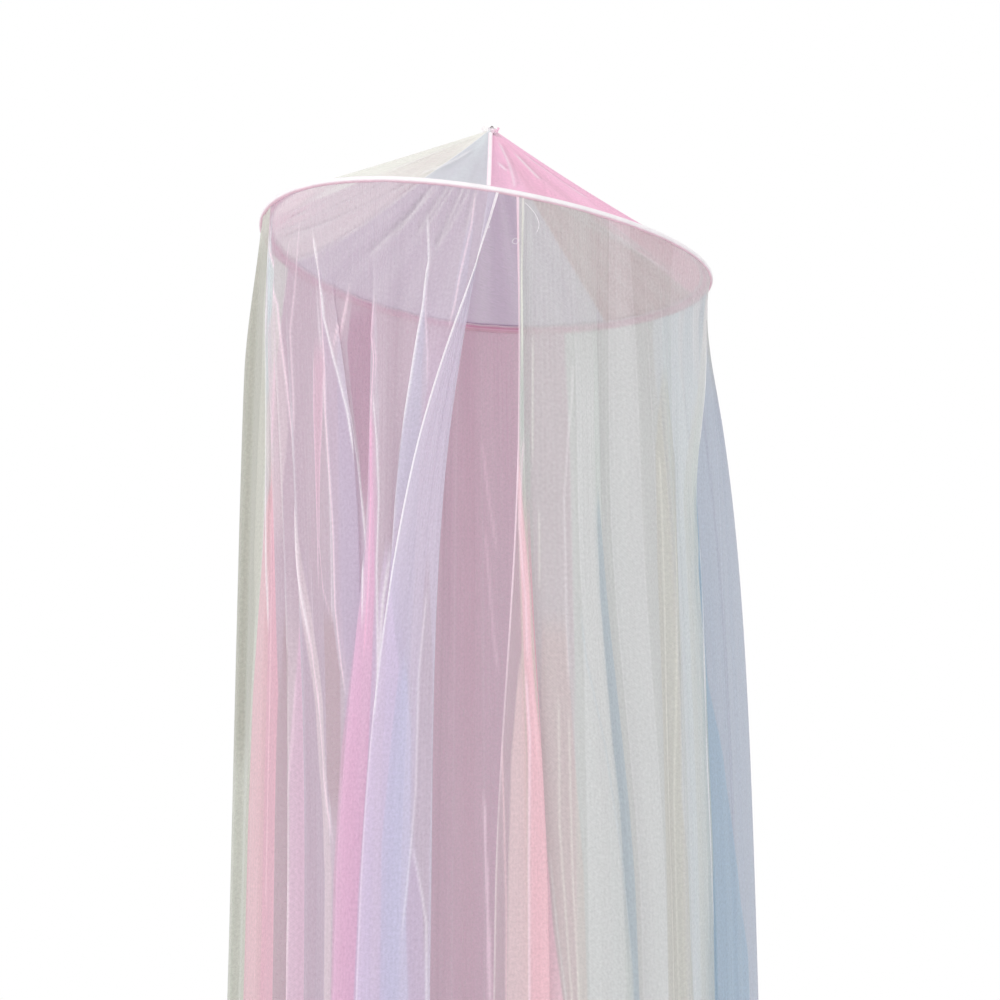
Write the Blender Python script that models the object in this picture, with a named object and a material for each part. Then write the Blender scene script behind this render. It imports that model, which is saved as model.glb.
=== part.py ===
# A hanging net canopy: a wire hoop in a pink casing carries a cone roof of coloured net gores
# above it and a long gathered net curtain below it. The gores are drawn together under a small
# white band, and a tape loop on that band is the point that the whole canopy hangs from.
#
# Metres, +Z up. The origin is the top of the tape loop. The front opening faces -Y.
# An angle round the hoop is in degrees: 0 is the front, 90 the right (+X), 180 the back.

import math

import bpy
from mathutils import Vector

# ---------------------------------------------------------------- driving dimensions

HOOP_RADIUS = 0.300
HOOP_WIRE_RADIUS = 0.0025
HOOP_DROP = 0.190  # hoop's centre below the hang point
HOOP_SHIFT_X = -0.0065  # the hoop hangs a little off centre
HOOP_ROLL = math.radians(7.0)  # and its right side hangs lower
HOOP_WARP_COS = -0.005  # out-of-plane bend of the springy wire, twice round
HOOP_WARP_SIN = -0.006
HOOP_STEPS = 48

CASING_LEG = 0.0135  # how far the casing's two legs run inwards from the wire
CASING_SLOPE = math.radians(20.0)  # and how steeply they rise
CASING_WALL = 0.0010
CASING_SLACK = 0.0004  # between the wire and the casing
SLOT_HALF_HEIGHT = 0.0009  # of the slot that grips the roof's edge

CLOTH = 0.0012  # thickness of a net sheet
HEM = 0.0024  # of its rolled hems
SEAM_GAP = 0.00035  # each sheet ends this far short of a seam line

NECK_RADIUS = 0.0098  # where the gores end, under the band
NECK_DROP = 0.0080
ROOF_EDGE = 0.0046  # the gores' outer edge, inwards from the wire
ROOF_GRIP = 0.0015  # how far past the casing's legs the roof runs straight
ROOF_STEPS = (0.0, 0.03, 0.12, 0.28, 0.52, 0.78, 1.0)  # from the edge to the neck
ROOF_SAG = 0.002
ROOF_SAG_SIDE = 0.002  # more on the right, less on the left
PLEAT_HEIGHT = 0.0030
PLEAT_PITCH = 11.0  # degrees
PLEAT_WANDER = 0.8
PLEAT_UNEVEN = 0.5
PLEAT_START = 0.12
PLEAT_STEPS = 3.0  # columns for each pleat
SEAM_TAPE_WIDTH = 0.0062
SEAM_TAPE_THICK = 0.0008
SEAM_TAPE_RISE = 0.0015  # of its underside over the net's middle
SEAM_TAPE_ANGLE = 1.0
SEAM_TAPE_HALF_TURN = 7.0  # degrees that it covers at most, near the neck
SEAM_TAPE_STEPS = (0.055, 0.12, 0.28, 0.52, 0.74, 0.90)

BAND_RADIUS = 0.0076  # centre line of the gathered band
BAND_HALF_WIDTH = 0.0015
BAND_HALF_HEIGHT = 0.0032
BAND_DROP = 0.0072
BAND_PUCKERS = 14
BAND_PUCKER_SHARE = 0.72  # of its width, in the hollow of a pucker
BAND_SIDES = 8

LOOP_HALF_SPAN = 0.0076
LOOP_TAPE_WIDTH = 0.0020
LOOP_TAPE_THICK = 0.0009
LOOP_GAP = 0.0003
LOOP_STEPS = 12

LINK_WIRE_RADIUS = 0.0007
LINK_HALF_LENGTH = 0.0044
LINK_HALF_WIDTH = 0.0027
LINK_PLAY = 0.0003
LINK_CROWN_PLAY = 0.0009  # between the top link's crown and the flat tape in it
CHAIN_TURN = math.radians(45.0)
CHAIN_X = 0.0022
LINK_STEPS = 14
LINK_SIDES = 6

CURTAIN_LENGTH = 2.25
CURTAIN_TOP = 0.0044  # curtain's head below the wire's centre
CURTAIN_LEVELS = (0.0, 0.025, 0.07, 0.13, 0.21, 0.31, 0.43, 0.57, 0.74, 0.97, 1.35, 1.80, 2.22, 2.25)
MID_LEVEL = 0.35
LOW_LEVEL = 0.85
HOOP_GATHER = 0.15  # share of a fold's depth that is left at the hoop
FOLD_SETTLE = 0.20  # a fold has its full depth this far down
FREE_HEM_WIDTH = 0.004
SHARPEST_BEND = math.radians(130.0)

# How far the curtain stands out from the hoop at full flare, on each side.
FLARE = {"front": 0.020, "right": 0.034, "back": 0.022, "left": 0.011}
FLARE_RUN = {"front": 0.18, "right": 0.27, "back": 0.22, "left": 0.12}
PINCH_RIGHT = 0.0155  # the low side of the hoop draws its curtain in, most at PINCH_DEPTH
PINCH_DEPTH = 0.12
HEM_FLARE = 0.020  # the last widening, towards the hem
HEM_FLARE_FROM = 0.9
HEM_FLARE_LENGTH = 1.6
LATE_DRIFT = 0.3  # share of a fold's drift that goes on below LOW_LEVEL
LATE_DRIFT_RUN = 0.5

# ---------------------------------------------------------------- colours (linear RGB)

COLOURS = {
    "steel": (0.42, 0.40, 0.42),
    "casing": (0.90, 0.62, 0.74),
    "white": (0.93, 0.91, 0.93),
    "cream": (0.88, 0.87, 0.74),
    "sky": (0.56, 0.68, 0.82),
    "pink": (0.92, 0.48, 0.70),
    "rose": (0.78, 0.55, 0.60),
    "lilac": (0.64, 0.56, 0.76),
    "blush": (0.92, 0.68, 0.70),
    "mint": (0.66, 0.74, 0.64),
    "pearl": (0.72, 0.68, 0.72),
    "mauve": (0.62, 0.38, 0.50),
    "coral": (0.92, 0.56, 0.58),
    "orchid": (0.84, 0.48, 0.70),
    "lavender": (0.70, 0.66, 0.86),
}

# ---------------------------------------------------------------- roof gores, front round by the right

ROOF_GORES = (
    # name, from, to (degrees), colour
    ("roof_pink", 1.0, 103.0, "pink"),
    ("roof_rose", 103.0, 144.0, "rose"),
    ("roof_lilac", 144.0, 242.0, "lilac"),
    ("roof_blush", 242.0, 281.0, "blush"),
    ("roof_cream", 281.0, 344.0, "cream"),
    ("roof_sky", 344.0, 361.0, "sky"),
)

# ---------------------------------------------------------------- curtain folds
# A row for each fold line, from the right free edge round the back to the left free edge:
# its angle at the hoop, at MID_LEVEL and at LOW_LEVEL, and how far it stands out in millimetres.
# Where the angle turns back, the cloth is doubled over itself.

RIGHT_FOLDS = (
    # hoop, mid, low, out
    (7.5, 6.8, 2.3, 8.0),
    (8.6, 8.7, 13.0, 4.0),
    (9.5, 7.4, 8.6, -1.0),
    (10.8, 10.0, 13.6, -6.0),
    (15.0, 14.5, 18.0, 2.0),
    (20.0, 20.0, 23.0, 7.0),
    (26.0, 25.6, 32.4, 2.5),
    (27.6, 24.4, 30.0, -3.0),
    (31.0, 29.0, 35.0, -7.0),
    (37.0, 36.0, 40.0, 3.0),
    (42.0, 41.5, 43.5, -5.0),
    (46.5, 45.0, 46.0, 4.0),
    (53.0, 47.0, 48.3, -2.0),
    (66.0, 50.6, 52.0, 6.0),
    (84.0, 54.6, 56.2, 1.0),
    (85.5, 51.0, 51.6, -5.0),
    (87.5, 57.0, 58.0, -10.0),
    (91.0, 69.0, 68.0, -2.0),
    (96.0, 86.0, 86.0, 6.5),
)

LEFT_FOLDS = (
    (292.0, 301.5, 295.8, 4.0),
    (293.2, 302.8, 303.9, -3.0),
    (294.3, 304.6, 309.2, 4.0),
    (295.4, 306.4, 312.8, -4.0),
    (297.0, 308.4, 314.6, 5.0),
    (299.8, 311.4, 317.8, -4.0),
    (304.5, 313.4, 320.4, 5.0),
    (309.8, 316.4, 322.8, -3.0),
    (314.6, 324.0, 326.4, 3.0),
    (317.2, 330.3, 333.2, -1.5),
    (322.0, 325.6, 328.6, -6.0),
    (328.5, 330.0, 331.6, -9.0),
    (333.0, 337.0, 336.8, 0.5),
    (334.8, 335.1, 328.9, 7.0),
    (336.8, 338.0, 334.2, 12.0),
    (339.2, 339.6, 337.2, 6.0),
    (343.5, 341.5, 338.8, -6.0),
    (347.8, 346.0, 343.0, -3.0),
    (350.6, 341.8, 338.8, 2.0),
    (361.0, 352.2, 349.7, 8.0),
    (363.4, 345.1, 335.3, 16.0),
)

# The side and back are evenly gathered: panel, from, to, folds, depth in millimetres.
ROUND_THE_BACK = (
    (96.0, 128.0, 3, 6.0),
    (128.0, 158.0, 2, 7.0),
    (158.0, 247.0, 6, 8.0),
    (247.0, 292.0, 5, 6.0),
)

PANELS = (
    # name, seam at (degrees at the hoop) where it begins, colour
    ("curtain_blush_front", 7.5, "blush"),
    ("curtain_mint_front", 10.8, "mint"),
    ("curtain_sky_side", 87.5, "sky"),
    ("curtain_pearl_back", 128.0, "pearl"),
    ("curtain_mauve_back", 158.0, "mauve"),
    ("curtain_mint_side", 247.0, "mint"),
    ("curtain_coral_left", 292.0, "coral"),
    ("curtain_pearl_left", 295.4, "pearl"),
    ("curtain_lilac_left", 314.6, "lilac"),
    ("curtain_orchid_left", 333.6, "orchid"),
    ("curtain_lavender_front", 339.2, "lavender"),
)
LAST_SEAM = 363.4
HAND_STEPS = 3  # columns between two fold lines of the front
BACK_STEPS = 2
BACK_SWAY = 0.25  # how unevenly the gathered folds are spaced
BACK_DRIFT = 1.2  # degrees that they wander on the way down
BACK_UNEVEN = 0.35  # and how unevenly deep they are


# ---------------------------------------------------------------- small helpers


def clear_scene():
    for thing in list(bpy.data.objects):
        bpy.data.objects.remove(thing, do_unlink=True)


def material(name, roughness=0.85, metallic=0.0):
    found = bpy.data.materials.get(name)
    if found:
        return found
    made = bpy.data.materials.new(name)
    made.use_nodes = True
    shader = made.node_tree.nodes["Principled BSDF"]
    shader.inputs["Base Color"].default_value = (*COLOURS[name], 1.0)
    shader.inputs["Roughness"].default_value = roughness
    shader.inputs["Metallic"].default_value = metallic
    made.diffuse_color = (*COLOURS[name], 1.0)
    return made


def new_object(name, points, faces, colour, roughness=0.85, metallic=0.0):
    mesh = bpy.data.meshes.new(name)
    mesh.from_pydata([tuple(p) for p in points], [], faces)
    mesh.materials.append(material(colour, roughness, metallic))
    mesh.shade_smooth()
    thing = bpy.data.objects.new(name, mesh)
    bpy.context.collection.objects.link(thing)
    return thing


def smooth_share(value):
    value = min(max(value, 0.0), 1.0)
    return value * value * (3.0 - 2.0 * value)


def swept_ring(name, rings, colour, roughness=0.85, metallic=0.0):
    """A closed tube through equal rings of points, the last joined to the first."""
    sides = len(rings[0])
    points = [p for ring in rings for p in ring]
    faces = []
    for i in range(len(rings)):
        j = (i + 1) % len(rings)
        for k in range(sides):
            m = (k + 1) % sides
            faces.append((i * sides + k, j * sides + k, j * sides + m, i * sides + m))
    return new_object(name, points, faces, colour, roughness, metallic)


def cloth_sheet(name, columns, colour, hem_test):
    """A single layer of points, columns of equal length, thickened to a closed sheet of cloth."""
    rows = len(columns[0])
    points = [p for column in columns for p in column]
    faces = []
    for i in range(len(columns) - 1):
        for k in range(rows - 1):
            a = i * rows + k
            faces.append((a, a + 1, a + rows + 1, a + rows))
    thing = new_object(name, points, faces, colour)
    group = thing.vertex_groups.new(name="thickness")
    for i in range(len(columns)):
        for k in range(rows):
            weight = 1.0 if hem_test(i, k) else CLOTH / HEM
            group.add([i * rows + k], weight, "REPLACE")
    wall = thing.modifiers.new("Solidify", "SOLIDIFY")
    wall.thickness = HEM
    wall.offset = 0.0
    wall.vertex_group = group.name
    return thing


# ---------------------------------------------------------------- hoop and casing


def hoop_frame(angle):
    """The wire's centre at an angle in degrees, with the outward and upward directions there."""
    turn = math.radians(angle)
    side = HOOP_RADIUS * math.sin(turn)
    warp = HOOP_WARP_COS * math.cos(2 * turn) + HOOP_WARP_SIN * math.sin(2 * turn)
    centre = Vector((
        HOOP_SHIFT_X + side * math.cos(HOOP_ROLL),
        -HOOP_RADIUS * math.cos(turn),
        -HOOP_DROP - side * math.sin(HOOP_ROLL) + warp,
    ))
    outward = Vector((
        math.sin(turn) * math.cos(HOOP_ROLL),
        -math.cos(turn),
        -math.sin(turn) * math.sin(HOOP_ROLL),
    ))
    upward = Vector((math.sin(HOOP_ROLL), 0.0, math.cos(HOOP_ROLL)))
    return centre, outward, upward


def pocket_point(angle, inward, lift):
    """A point of the casing's pocket: inward along its slope from the wire, and lift across it."""
    centre, outward, upward = hoop_frame(angle)
    along = -outward * math.cos(CASING_SLOPE) + upward * math.sin(CASING_SLOPE)
    across = outward * math.sin(CASING_SLOPE) + upward * math.cos(CASING_SLOPE)
    return centre + along * inward + across * lift


def make_hoop():
    curve = bpy.data.curves.new("hoop", "CURVE")
    curve.dimensions = "3D"
    curve.bevel_depth = HOOP_WIRE_RADIUS
    curve.bevel_resolution = 2
    spline = curve.splines.new("POLY")
    spline.points.add(HOOP_STEPS - 1)
    for i in range(HOOP_STEPS):
        centre = hoop_frame(360.0 * i / HOOP_STEPS)[0]
        spline.points[i].co = (*centre, 1.0)
    spline.use_cyclic_u = True
    curve.materials.append(material("steel", 0.35, 1.0))
    thing = bpy.data.objects.new("hoop", curve)
    bpy.context.collection.objects.link(thing)


def casing_outline():
    """The folded tape's section: outside of the lower leg, round the wire, back along the upper
    leg, then the same way home on the inside."""
    inner = HOOP_WIRE_RADIUS + CASING_SLACK
    outer = inner + CASING_WALL
    leg_in = SLOT_HALF_HEIGHT
    leg_out = SLOT_HALF_HEIGHT + CASING_WALL
    outside = [(CASING_LEG, -leg_out), (outer * 1.35, -leg_out * 1.15)]
    for turn in (-75, -125, -180, 125, 75):
        outside.append((outer * math.cos(math.radians(turn)), outer * math.sin(math.radians(turn))))
    outside += [(outer * 1.35, leg_out * 1.15), (CASING_LEG, leg_out)]
    inside = [(CASING_LEG, leg_in), (inner * 1.45, leg_in)]
    for turn in (70, 125, 180, -125, -70):
        inside.append((inner * math.cos(math.radians(turn)), inner * math.sin(math.radians(turn))))
    inside += [(inner * 1.45, -leg_in), (CASING_LEG, -leg_in)]
    return outside + inside


def make_casing():
    outline = casing_outline()
    rings = []
    for i in range(HOOP_STEPS):
        angle = 360.0 * i / HOOP_STEPS
        rings.append([pocket_point(angle, inward, lift) for inward, lift in outline])
    swept_ring("hoop_casing", rings, "casing")


# ---------------------------------------------------------------- roof


def roof_point(angle, share, lift=0.0):
    """A point of the roof: share 0 at its edge in the casing, 1 at the neck."""
    grip = CASING_LEG + ROOF_GRIP
    edge = pocket_point(angle, ROOF_EDGE, 0.0)
    lip = pocket_point(angle, grip, 0.0)
    turn = math.radians(angle)
    neck = Vector((NECK_RADIUS * math.sin(turn), -NECK_RADIUS * math.cos(turn), -NECK_DROP))
    lip_share = ROOF_STEPS[1]
    if share <= lip_share:
        return edge.lerp(lip, share / lip_share)
    along = (share - lip_share) / (1.0 - lip_share)
    point = lip.lerp(neck, along)
    sag = ROOF_SAG + ROOF_SAG_SIDE * math.sin(turn)
    point.z -= sag * 4.0 * along * (1.0 - along)
    # Pleats radiate from the neck, unevenly spaced and unevenly deep, and start inside the casing.
    crest = math.cos(2.0 * math.pi * angle / PLEAT_PITCH + PLEAT_WANDER * math.sin(3.0 * turn))
    height = PLEAT_HEIGHT * (1.0 + PLEAT_UNEVEN * math.sin(5.0 * turn + 1.0))
    point.z += height * crest * smooth_share(along / PLEAT_START) * (1.0 - along) ** 1.5
    point.z += lift
    return point


def make_gore(name, start, end, colour):
    steps = round((end - start) / (PLEAT_PITCH / PLEAT_STEPS))
    columns = []
    for i in range(steps + 1):
        column = []
        for share in ROOF_STEPS:
            radius = HOOP_RADIUS + (NECK_RADIUS - HOOP_RADIUS) * share
            inset = math.degrees(SEAM_GAP / radius)
            first, last = start + inset, end - inset
            column.append(roof_point(first + (last - first) * i / steps, share))
        columns.append(column[::-1])
    cloth_sheet(name, columns, colour, lambda i, k: False)


def make_seam_tape():
    """White tape over the front seam of the roof, a little above the net."""
    clear = SEAM_TAPE_RISE + SEAM_TAPE_THICK / 2.0
    rings = []
    for share in SEAM_TAPE_STEPS:
        radius = HOOP_RADIUS + (NECK_RADIUS - HOOP_RADIUS) * share
        half = math.degrees(SEAM_TAPE_WIDTH / 2.0 / radius)
        half = min(half, SEAM_TAPE_HALF_TURN)
        left = roof_point(SEAM_TAPE_ANGLE - half, share, clear)
        right = roof_point(SEAM_TAPE_ANGLE + half, share, clear)
        level = max(left.z, right.z)
        left.z = level
        right.z = level
        thick = Vector((0.0, 0.0, SEAM_TAPE_THICK / 2.0))
        rings.append((left - thick, right - thick, right + thick, left + thick))
    points = [p for ring in rings for p in ring]
    faces = [(0, 1, 2, 3)]
    for i in range(len(rings) - 1):
        for k in range(4):
            m = (k + 1) % 4
            faces.append((i * 4 + k, i * 4 + 4 + k, i * 4 + 4 + m, i * 4 + m))
    end = (len(rings) - 1) * 4
    faces.append((end + 3, end + 2, end + 1, end))
    new_object("roof_seam_tape", points, faces, "white")


# ---------------------------------------------------------------- apex


def make_band():
    """The gathered white band at the top of the gores, puckered by its thread."""
    rings = []
    steps = BAND_PUCKERS * 2
    for i in range(steps):
        turn = 2.0 * math.pi * i / steps
        swell = 1.0 if i % 2 == 0 else BAND_PUCKER_SHARE
        ring = []
        for k in range(BAND_SIDES):
            side = 2.0 * math.pi * k / BAND_SIDES
            radius = BAND_RADIUS + BAND_HALF_WIDTH * swell * math.cos(side)
            height = -BAND_DROP + BAND_HALF_HEIGHT * math.sin(side)
            ring.append(Vector((radius * math.sin(turn), -radius * math.cos(turn), height)))
        rings.append(ring)
    swept_ring("apex_band", rings, "white")


def loop_height(x):
    """Height of the tape loop's middle over the band, an arch that peaks at the origin."""
    foot = -BAND_DROP + BAND_HALF_HEIGHT + LOOP_GAP
    top = -LOOP_TAPE_THICK / 2.0
    return foot + (top - foot) * (1.0 - (x / LOOP_HALF_SPAN) ** 2) ** 0.5


def make_loop():
    steps = LOOP_STEPS
    rings = []
    for i in range(steps + 1):
        turn = math.pi * i / steps
        x = -LOOP_HALF_SPAN * math.cos(turn)
        z = loop_height(x)
        normal = Vector((-math.cos(turn), 0.0, math.sin(turn)))
        centre = Vector((x, 0.0, z))
        half = Vector((0.0, LOOP_TAPE_WIDTH / 2.0, 0.0))
        skin = normal * (LOOP_TAPE_THICK / 2.0)
        rings.append((centre - half - skin, centre + half - skin, centre + half + skin,
                      centre - half + skin))
    points = [p for ring in rings for p in ring]
    faces = [(3, 2, 1, 0)]
    for i in range(steps):
        for k in range(4):
            m = (k + 1) % 4
            faces.append((i * 4 + k, i * 4 + m, i * 4 + 4 + m, i * 4 + 4 + k))
    end = steps * 4
    faces.append((end, end + 1, end + 2, end + 3))
    new_object("hang_loop", points, faces, "white")


def make_link(name, top, turned):
    """An oval chain link hanging from its top, in one of the chain's two upright planes."""
    steps = LINK_STEPS
    sides = LINK_SIDES
    straight = LINK_HALF_LENGTH - LINK_HALF_WIDTH
    middle = Vector((CHAIN_X, 0.0, top - LINK_HALF_LENGTH))
    plane = CHAIN_TURN - (math.pi / 2.0 if turned else 0.0)
    wide = Vector((math.cos(plane), math.sin(plane), 0.0))
    deep = Vector((math.sin(plane), -math.cos(plane), 0.0))
    rings = []
    for i in range(steps):
        turn = 2.0 * math.pi * i / steps
        way = wide * math.cos(turn) + Vector((0.0, 0.0, math.sin(turn)))
        end = straight if math.sin(turn) >= 0.0 else -straight
        centre = middle + way * LINK_HALF_WIDTH + Vector((0.0, 0.0, end))
        ring = []
        for k in range(sides):
            side = 2.0 * math.pi * k / sides
            skin = way * math.cos(side) + deep * math.sin(side)
            ring.append(centre + skin * LINK_WIRE_RADIUS)
        rings.append(ring)
    swept_ring(name, rings, "steel", 0.35, 1.0)


def make_chain():
    over = loop_height(CHAIN_X) + LOOP_TAPE_THICK / 2.0
    top = over + LINK_CROWN_PLAY + LINK_WIRE_RADIUS
    for number, name in enumerate(("chain_link_top", "chain_link_middle", "chain_link_low")):
        make_link(name, top, number % 2 == 1)
        bottom = top - 2.0 * LINK_HALF_LENGTH
        top = bottom + 2.0 * LINK_WIRE_RADIUS + LINK_PLAY


# ---------------------------------------------------------------- curtain


def fold_lines():
    """All the curtain's fold lines in order, each (hoop, mid, low, out, steps to the next)."""
    lines = [(*row, HAND_STEPS) for row in RIGHT_FOLDS]
    lines[-1] = (*RIGHT_FOLDS[-1], BACK_STEPS)
    number = 0
    for start, end, folds, depth in ROUND_THE_BACK:
        count = folds * 2
        for i in range(count):
            number += 1
            if i == 0 and start == RIGHT_FOLDS[-1][0]:
                continue
            sway = BACK_SWAY * math.sin(2.3 * number) if i else 0.0
            at = start + (end - start) * (i + sway) / count
            drift = BACK_DRIFT * math.sin(1.7 * number)
            side = 1.0 if number % 2 else -1.0
            out = side * depth * (1.0 + BACK_UNEVEN * math.sin(3.1 * number))
            lines.append((at, at + drift / 2.0, at + drift, out, BACK_STEPS))
    lines += [(*row, HAND_STEPS) for row in LEFT_FOLDS]
    return lines


def eased_slopes(values):
    """Slopes for a curve through values that never overshoots: flat where it turns."""
    slopes = [0.0] * len(values)
    for i in range(1, len(values) - 1):
        before = values[i] - values[i - 1]
        after = values[i + 1] - values[i]
        if before * after > 0.0:
            slopes[i] = 2.0 * before * after / (before + after)
    slopes[0] = values[1] - values[0]
    slopes[-1] = values[-1] - values[-2]
    return slopes


def eased_value(values, slopes, at):
    i = min(int(at), len(values) - 2)
    t = at - i
    return (
        values[i] * (2 * t**3 - 3 * t**2 + 1)
        + slopes[i] * (t**3 - 2 * t**2 + t)
        + values[i + 1] * (3 * t**2 - 2 * t**3)
        + slopes[i + 1] * (t**3 - t**2)
    )


def fold_angle(line, depth):
    """A fold line's angle at a depth below the hoop."""
    hoop, mid, low = line[:3]
    upper = (mid - hoop) / MID_LEVEL
    lower = (low - mid) / (LOW_LEVEL - MID_LEVEL)
    turn = (upper + lower) / 2.0 if upper * lower > 0.0 else 0.0
    ending = LATE_DRIFT * lower
    if depth <= MID_LEVEL:
        return hermite(hoop, upper, mid, turn, MID_LEVEL, depth)
    if depth <= LOW_LEVEL:
        return hermite(mid, turn, low, ending, LOW_LEVEL - MID_LEVEL, depth - MID_LEVEL)
    return low + ending * LATE_DRIFT_RUN * (1.0 - math.exp((LOW_LEVEL - depth) / LATE_DRIFT_RUN))


def hermite(start, start_slope, end, end_slope, run, at):
    t = at / run
    return (
        start * (2 * t**3 - 3 * t**2 + 1)
        + start_slope * run * (t**3 - 2 * t**2 + t)
        + end * (3 * t**2 - 2 * t**3)
        + end_slope * run * (t**3 - t**2)
    )


def side_share(table, angle):
    """A value between the table's front, right, back and left ones."""
    turn = math.radians(angle)
    right, front = math.sin(turn), math.cos(turn)
    value = table["front" if front > 0 else "back"] * front * front
    return value + table["right" if right > 0 else "left"] * right * right


def curtain_radius(angle, depth):
    flare = side_share(FLARE, angle) * (1.0 - math.exp(-depth / side_share(FLARE_RUN, angle)))
    rightness = max(math.sin(math.radians(angle)), 0.0) ** 2
    pinch = PINCH_RIGHT * rightness * depth / PINCH_DEPTH * math.exp(1.0 - depth / PINCH_DEPTH)
    hem = HEM_FLARE * smooth_share((depth - HEM_FLARE_FROM) / HEM_FLARE_LENGTH)
    return HOOP_RADIUS + flare - pinch + hem


def curtain_columns():
    """The whole curtain as columns of points, with the hoop angle that each column hangs from."""
    lines = fold_lines()
    places = []
    for i, line in enumerate(lines[:-1]):
        for k in range(line[4]):
            places.append(i + k / line[4])
    places.append(float(len(lines) - 1))
    hoop_angles = [line[0] for line in lines]
    hoop_slopes = eased_slopes(hoop_angles)
    heads = [eased_value(hoop_angles, hoop_slopes, at) for at in places]
    outs = [line[3] / 1000.0 for line in lines]
    out_slopes = eased_slopes(outs)
    columns = [[] for _ in places]
    for depth in CURTAIN_LEVELS:
        angles = [fold_angle(line, depth) for line in lines]
        slopes = eased_slopes(angles)
        settled = smooth_share(depth / FOLD_SETTLE)
        fold_share = HOOP_GATHER + (1.0 - HOOP_GATHER) * settled
        # Seen from above, the tilted hoop is a little narrower than the hanging cloth.
        squeeze = math.cos(HOOP_ROLL) + (1.0 - math.cos(HOOP_ROLL)) * settled
        for number, at in enumerate(places):
            angle = eased_value(angles, slopes, at)
            out = eased_value(outs, out_slopes, at) * fold_share
            radius = curtain_radius(angle, depth) + out
            turn = math.radians(angle)
            centre = hoop_frame(heads[number])[0]
            columns[number].append(Vector((
                HOOP_SHIFT_X + radius * math.sin(turn) * squeeze,
                -radius * math.cos(turn),
                centre.z - CURTAIN_TOP - depth,
            )))
    return columns, heads


def move_in(column, neighbour, amounts):
    """A column moved towards its neighbour, each point by its own amount."""
    moved = []
    for point, other, amount in zip(column, neighbour, amounts):
        moved.append(point + (other - point).normalized() * amount)
    return moved


def seam_cuts(before, seam, after):
    """How far two sheets stop short of their seam, more where the seam runs along a sharp fold."""
    cuts = []
    for number, point in enumerate(seam):
        arriving = (point - before[number]).normalized()
        leaving = (after[number] - point).normalized()
        bend = min(arriving.angle(leaving), SHARPEST_BEND)
        thickness = HEM if number == len(seam) - 1 else CLOTH
        cuts.append(SEAM_GAP + thickness / 2.0 * math.tan(bend / 2.0))
    return cuts


def make_curtain():
    columns, heads = curtain_columns()
    seams = [start for _, start, _ in PANELS] + [LAST_SEAM]
    at_seams = []
    for seam in seams:
        at_seams.append(min(range(len(heads)), key=lambda n: abs(heads[n] - seam)))
    hem_row = len(CURTAIN_LEVELS) - 1
    for number, (name, start, colour) in enumerate(PANELS):
        first, last = at_seams[number], at_seams[number + 1]
        panel = [list(column) for column in columns[first:last + 1]]
        free_start = number == 0
        free_end = number == len(PANELS) - 1
        hem_widths = [FREE_HEM_WIDTH] * len(CURTAIN_LEVELS)
        if free_start:
            panel.insert(1, move_in(panel[0], panel[1], hem_widths))
        else:
            cuts = seam_cuts(columns[first - 1], columns[first], columns[first + 1])
            panel[0] = move_in(panel[0], panel[1], cuts)
        if free_end:
            panel.insert(-1, move_in(panel[-1], panel[-2], hem_widths))
        else:
            cuts = seam_cuts(columns[last - 1], columns[last], columns[last + 1])
            panel[-1] = move_in(panel[-1], panel[-2], cuts)
        count = len(panel)

        def is_hem(i, k):
            at_edge = (free_start and i == 0) or (free_end and i == count - 1)
            return k == hem_row or (at_edge and k > 0)

        cloth_sheet(name, panel, colour, is_hem)


def main():
    clear_scene()
    make_hoop()
    make_casing()
    for name, start, end, colour in ROOF_GORES:
        make_gore(name, start, end, colour)
    make_seam_tape()
    make_band()
    make_loop()
    make_chain()
    make_curtain()


main()
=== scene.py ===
import math

import bmesh
import bpy
import numpy as np
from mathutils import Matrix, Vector


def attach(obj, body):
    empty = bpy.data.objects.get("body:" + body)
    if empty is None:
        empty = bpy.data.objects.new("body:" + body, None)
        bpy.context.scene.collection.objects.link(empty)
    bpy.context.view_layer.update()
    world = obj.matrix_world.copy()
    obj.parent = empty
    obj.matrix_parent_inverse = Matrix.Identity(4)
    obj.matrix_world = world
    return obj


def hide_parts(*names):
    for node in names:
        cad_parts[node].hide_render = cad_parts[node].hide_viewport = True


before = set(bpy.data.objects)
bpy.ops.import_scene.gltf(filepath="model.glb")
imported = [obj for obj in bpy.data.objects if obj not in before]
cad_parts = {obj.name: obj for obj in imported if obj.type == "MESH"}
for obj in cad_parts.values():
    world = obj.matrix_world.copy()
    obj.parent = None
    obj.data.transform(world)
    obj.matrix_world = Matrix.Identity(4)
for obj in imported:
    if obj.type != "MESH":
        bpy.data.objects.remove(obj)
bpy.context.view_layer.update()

print("frame loaded:", len(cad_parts), "nodes")

# Metres, +Z up, the tape loop's top at the origin and the opening towards -Y.
# An angle round the hoop is in degrees: 0 front, 90 right, 180 back, 270 left.

mm = 0.001

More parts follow.
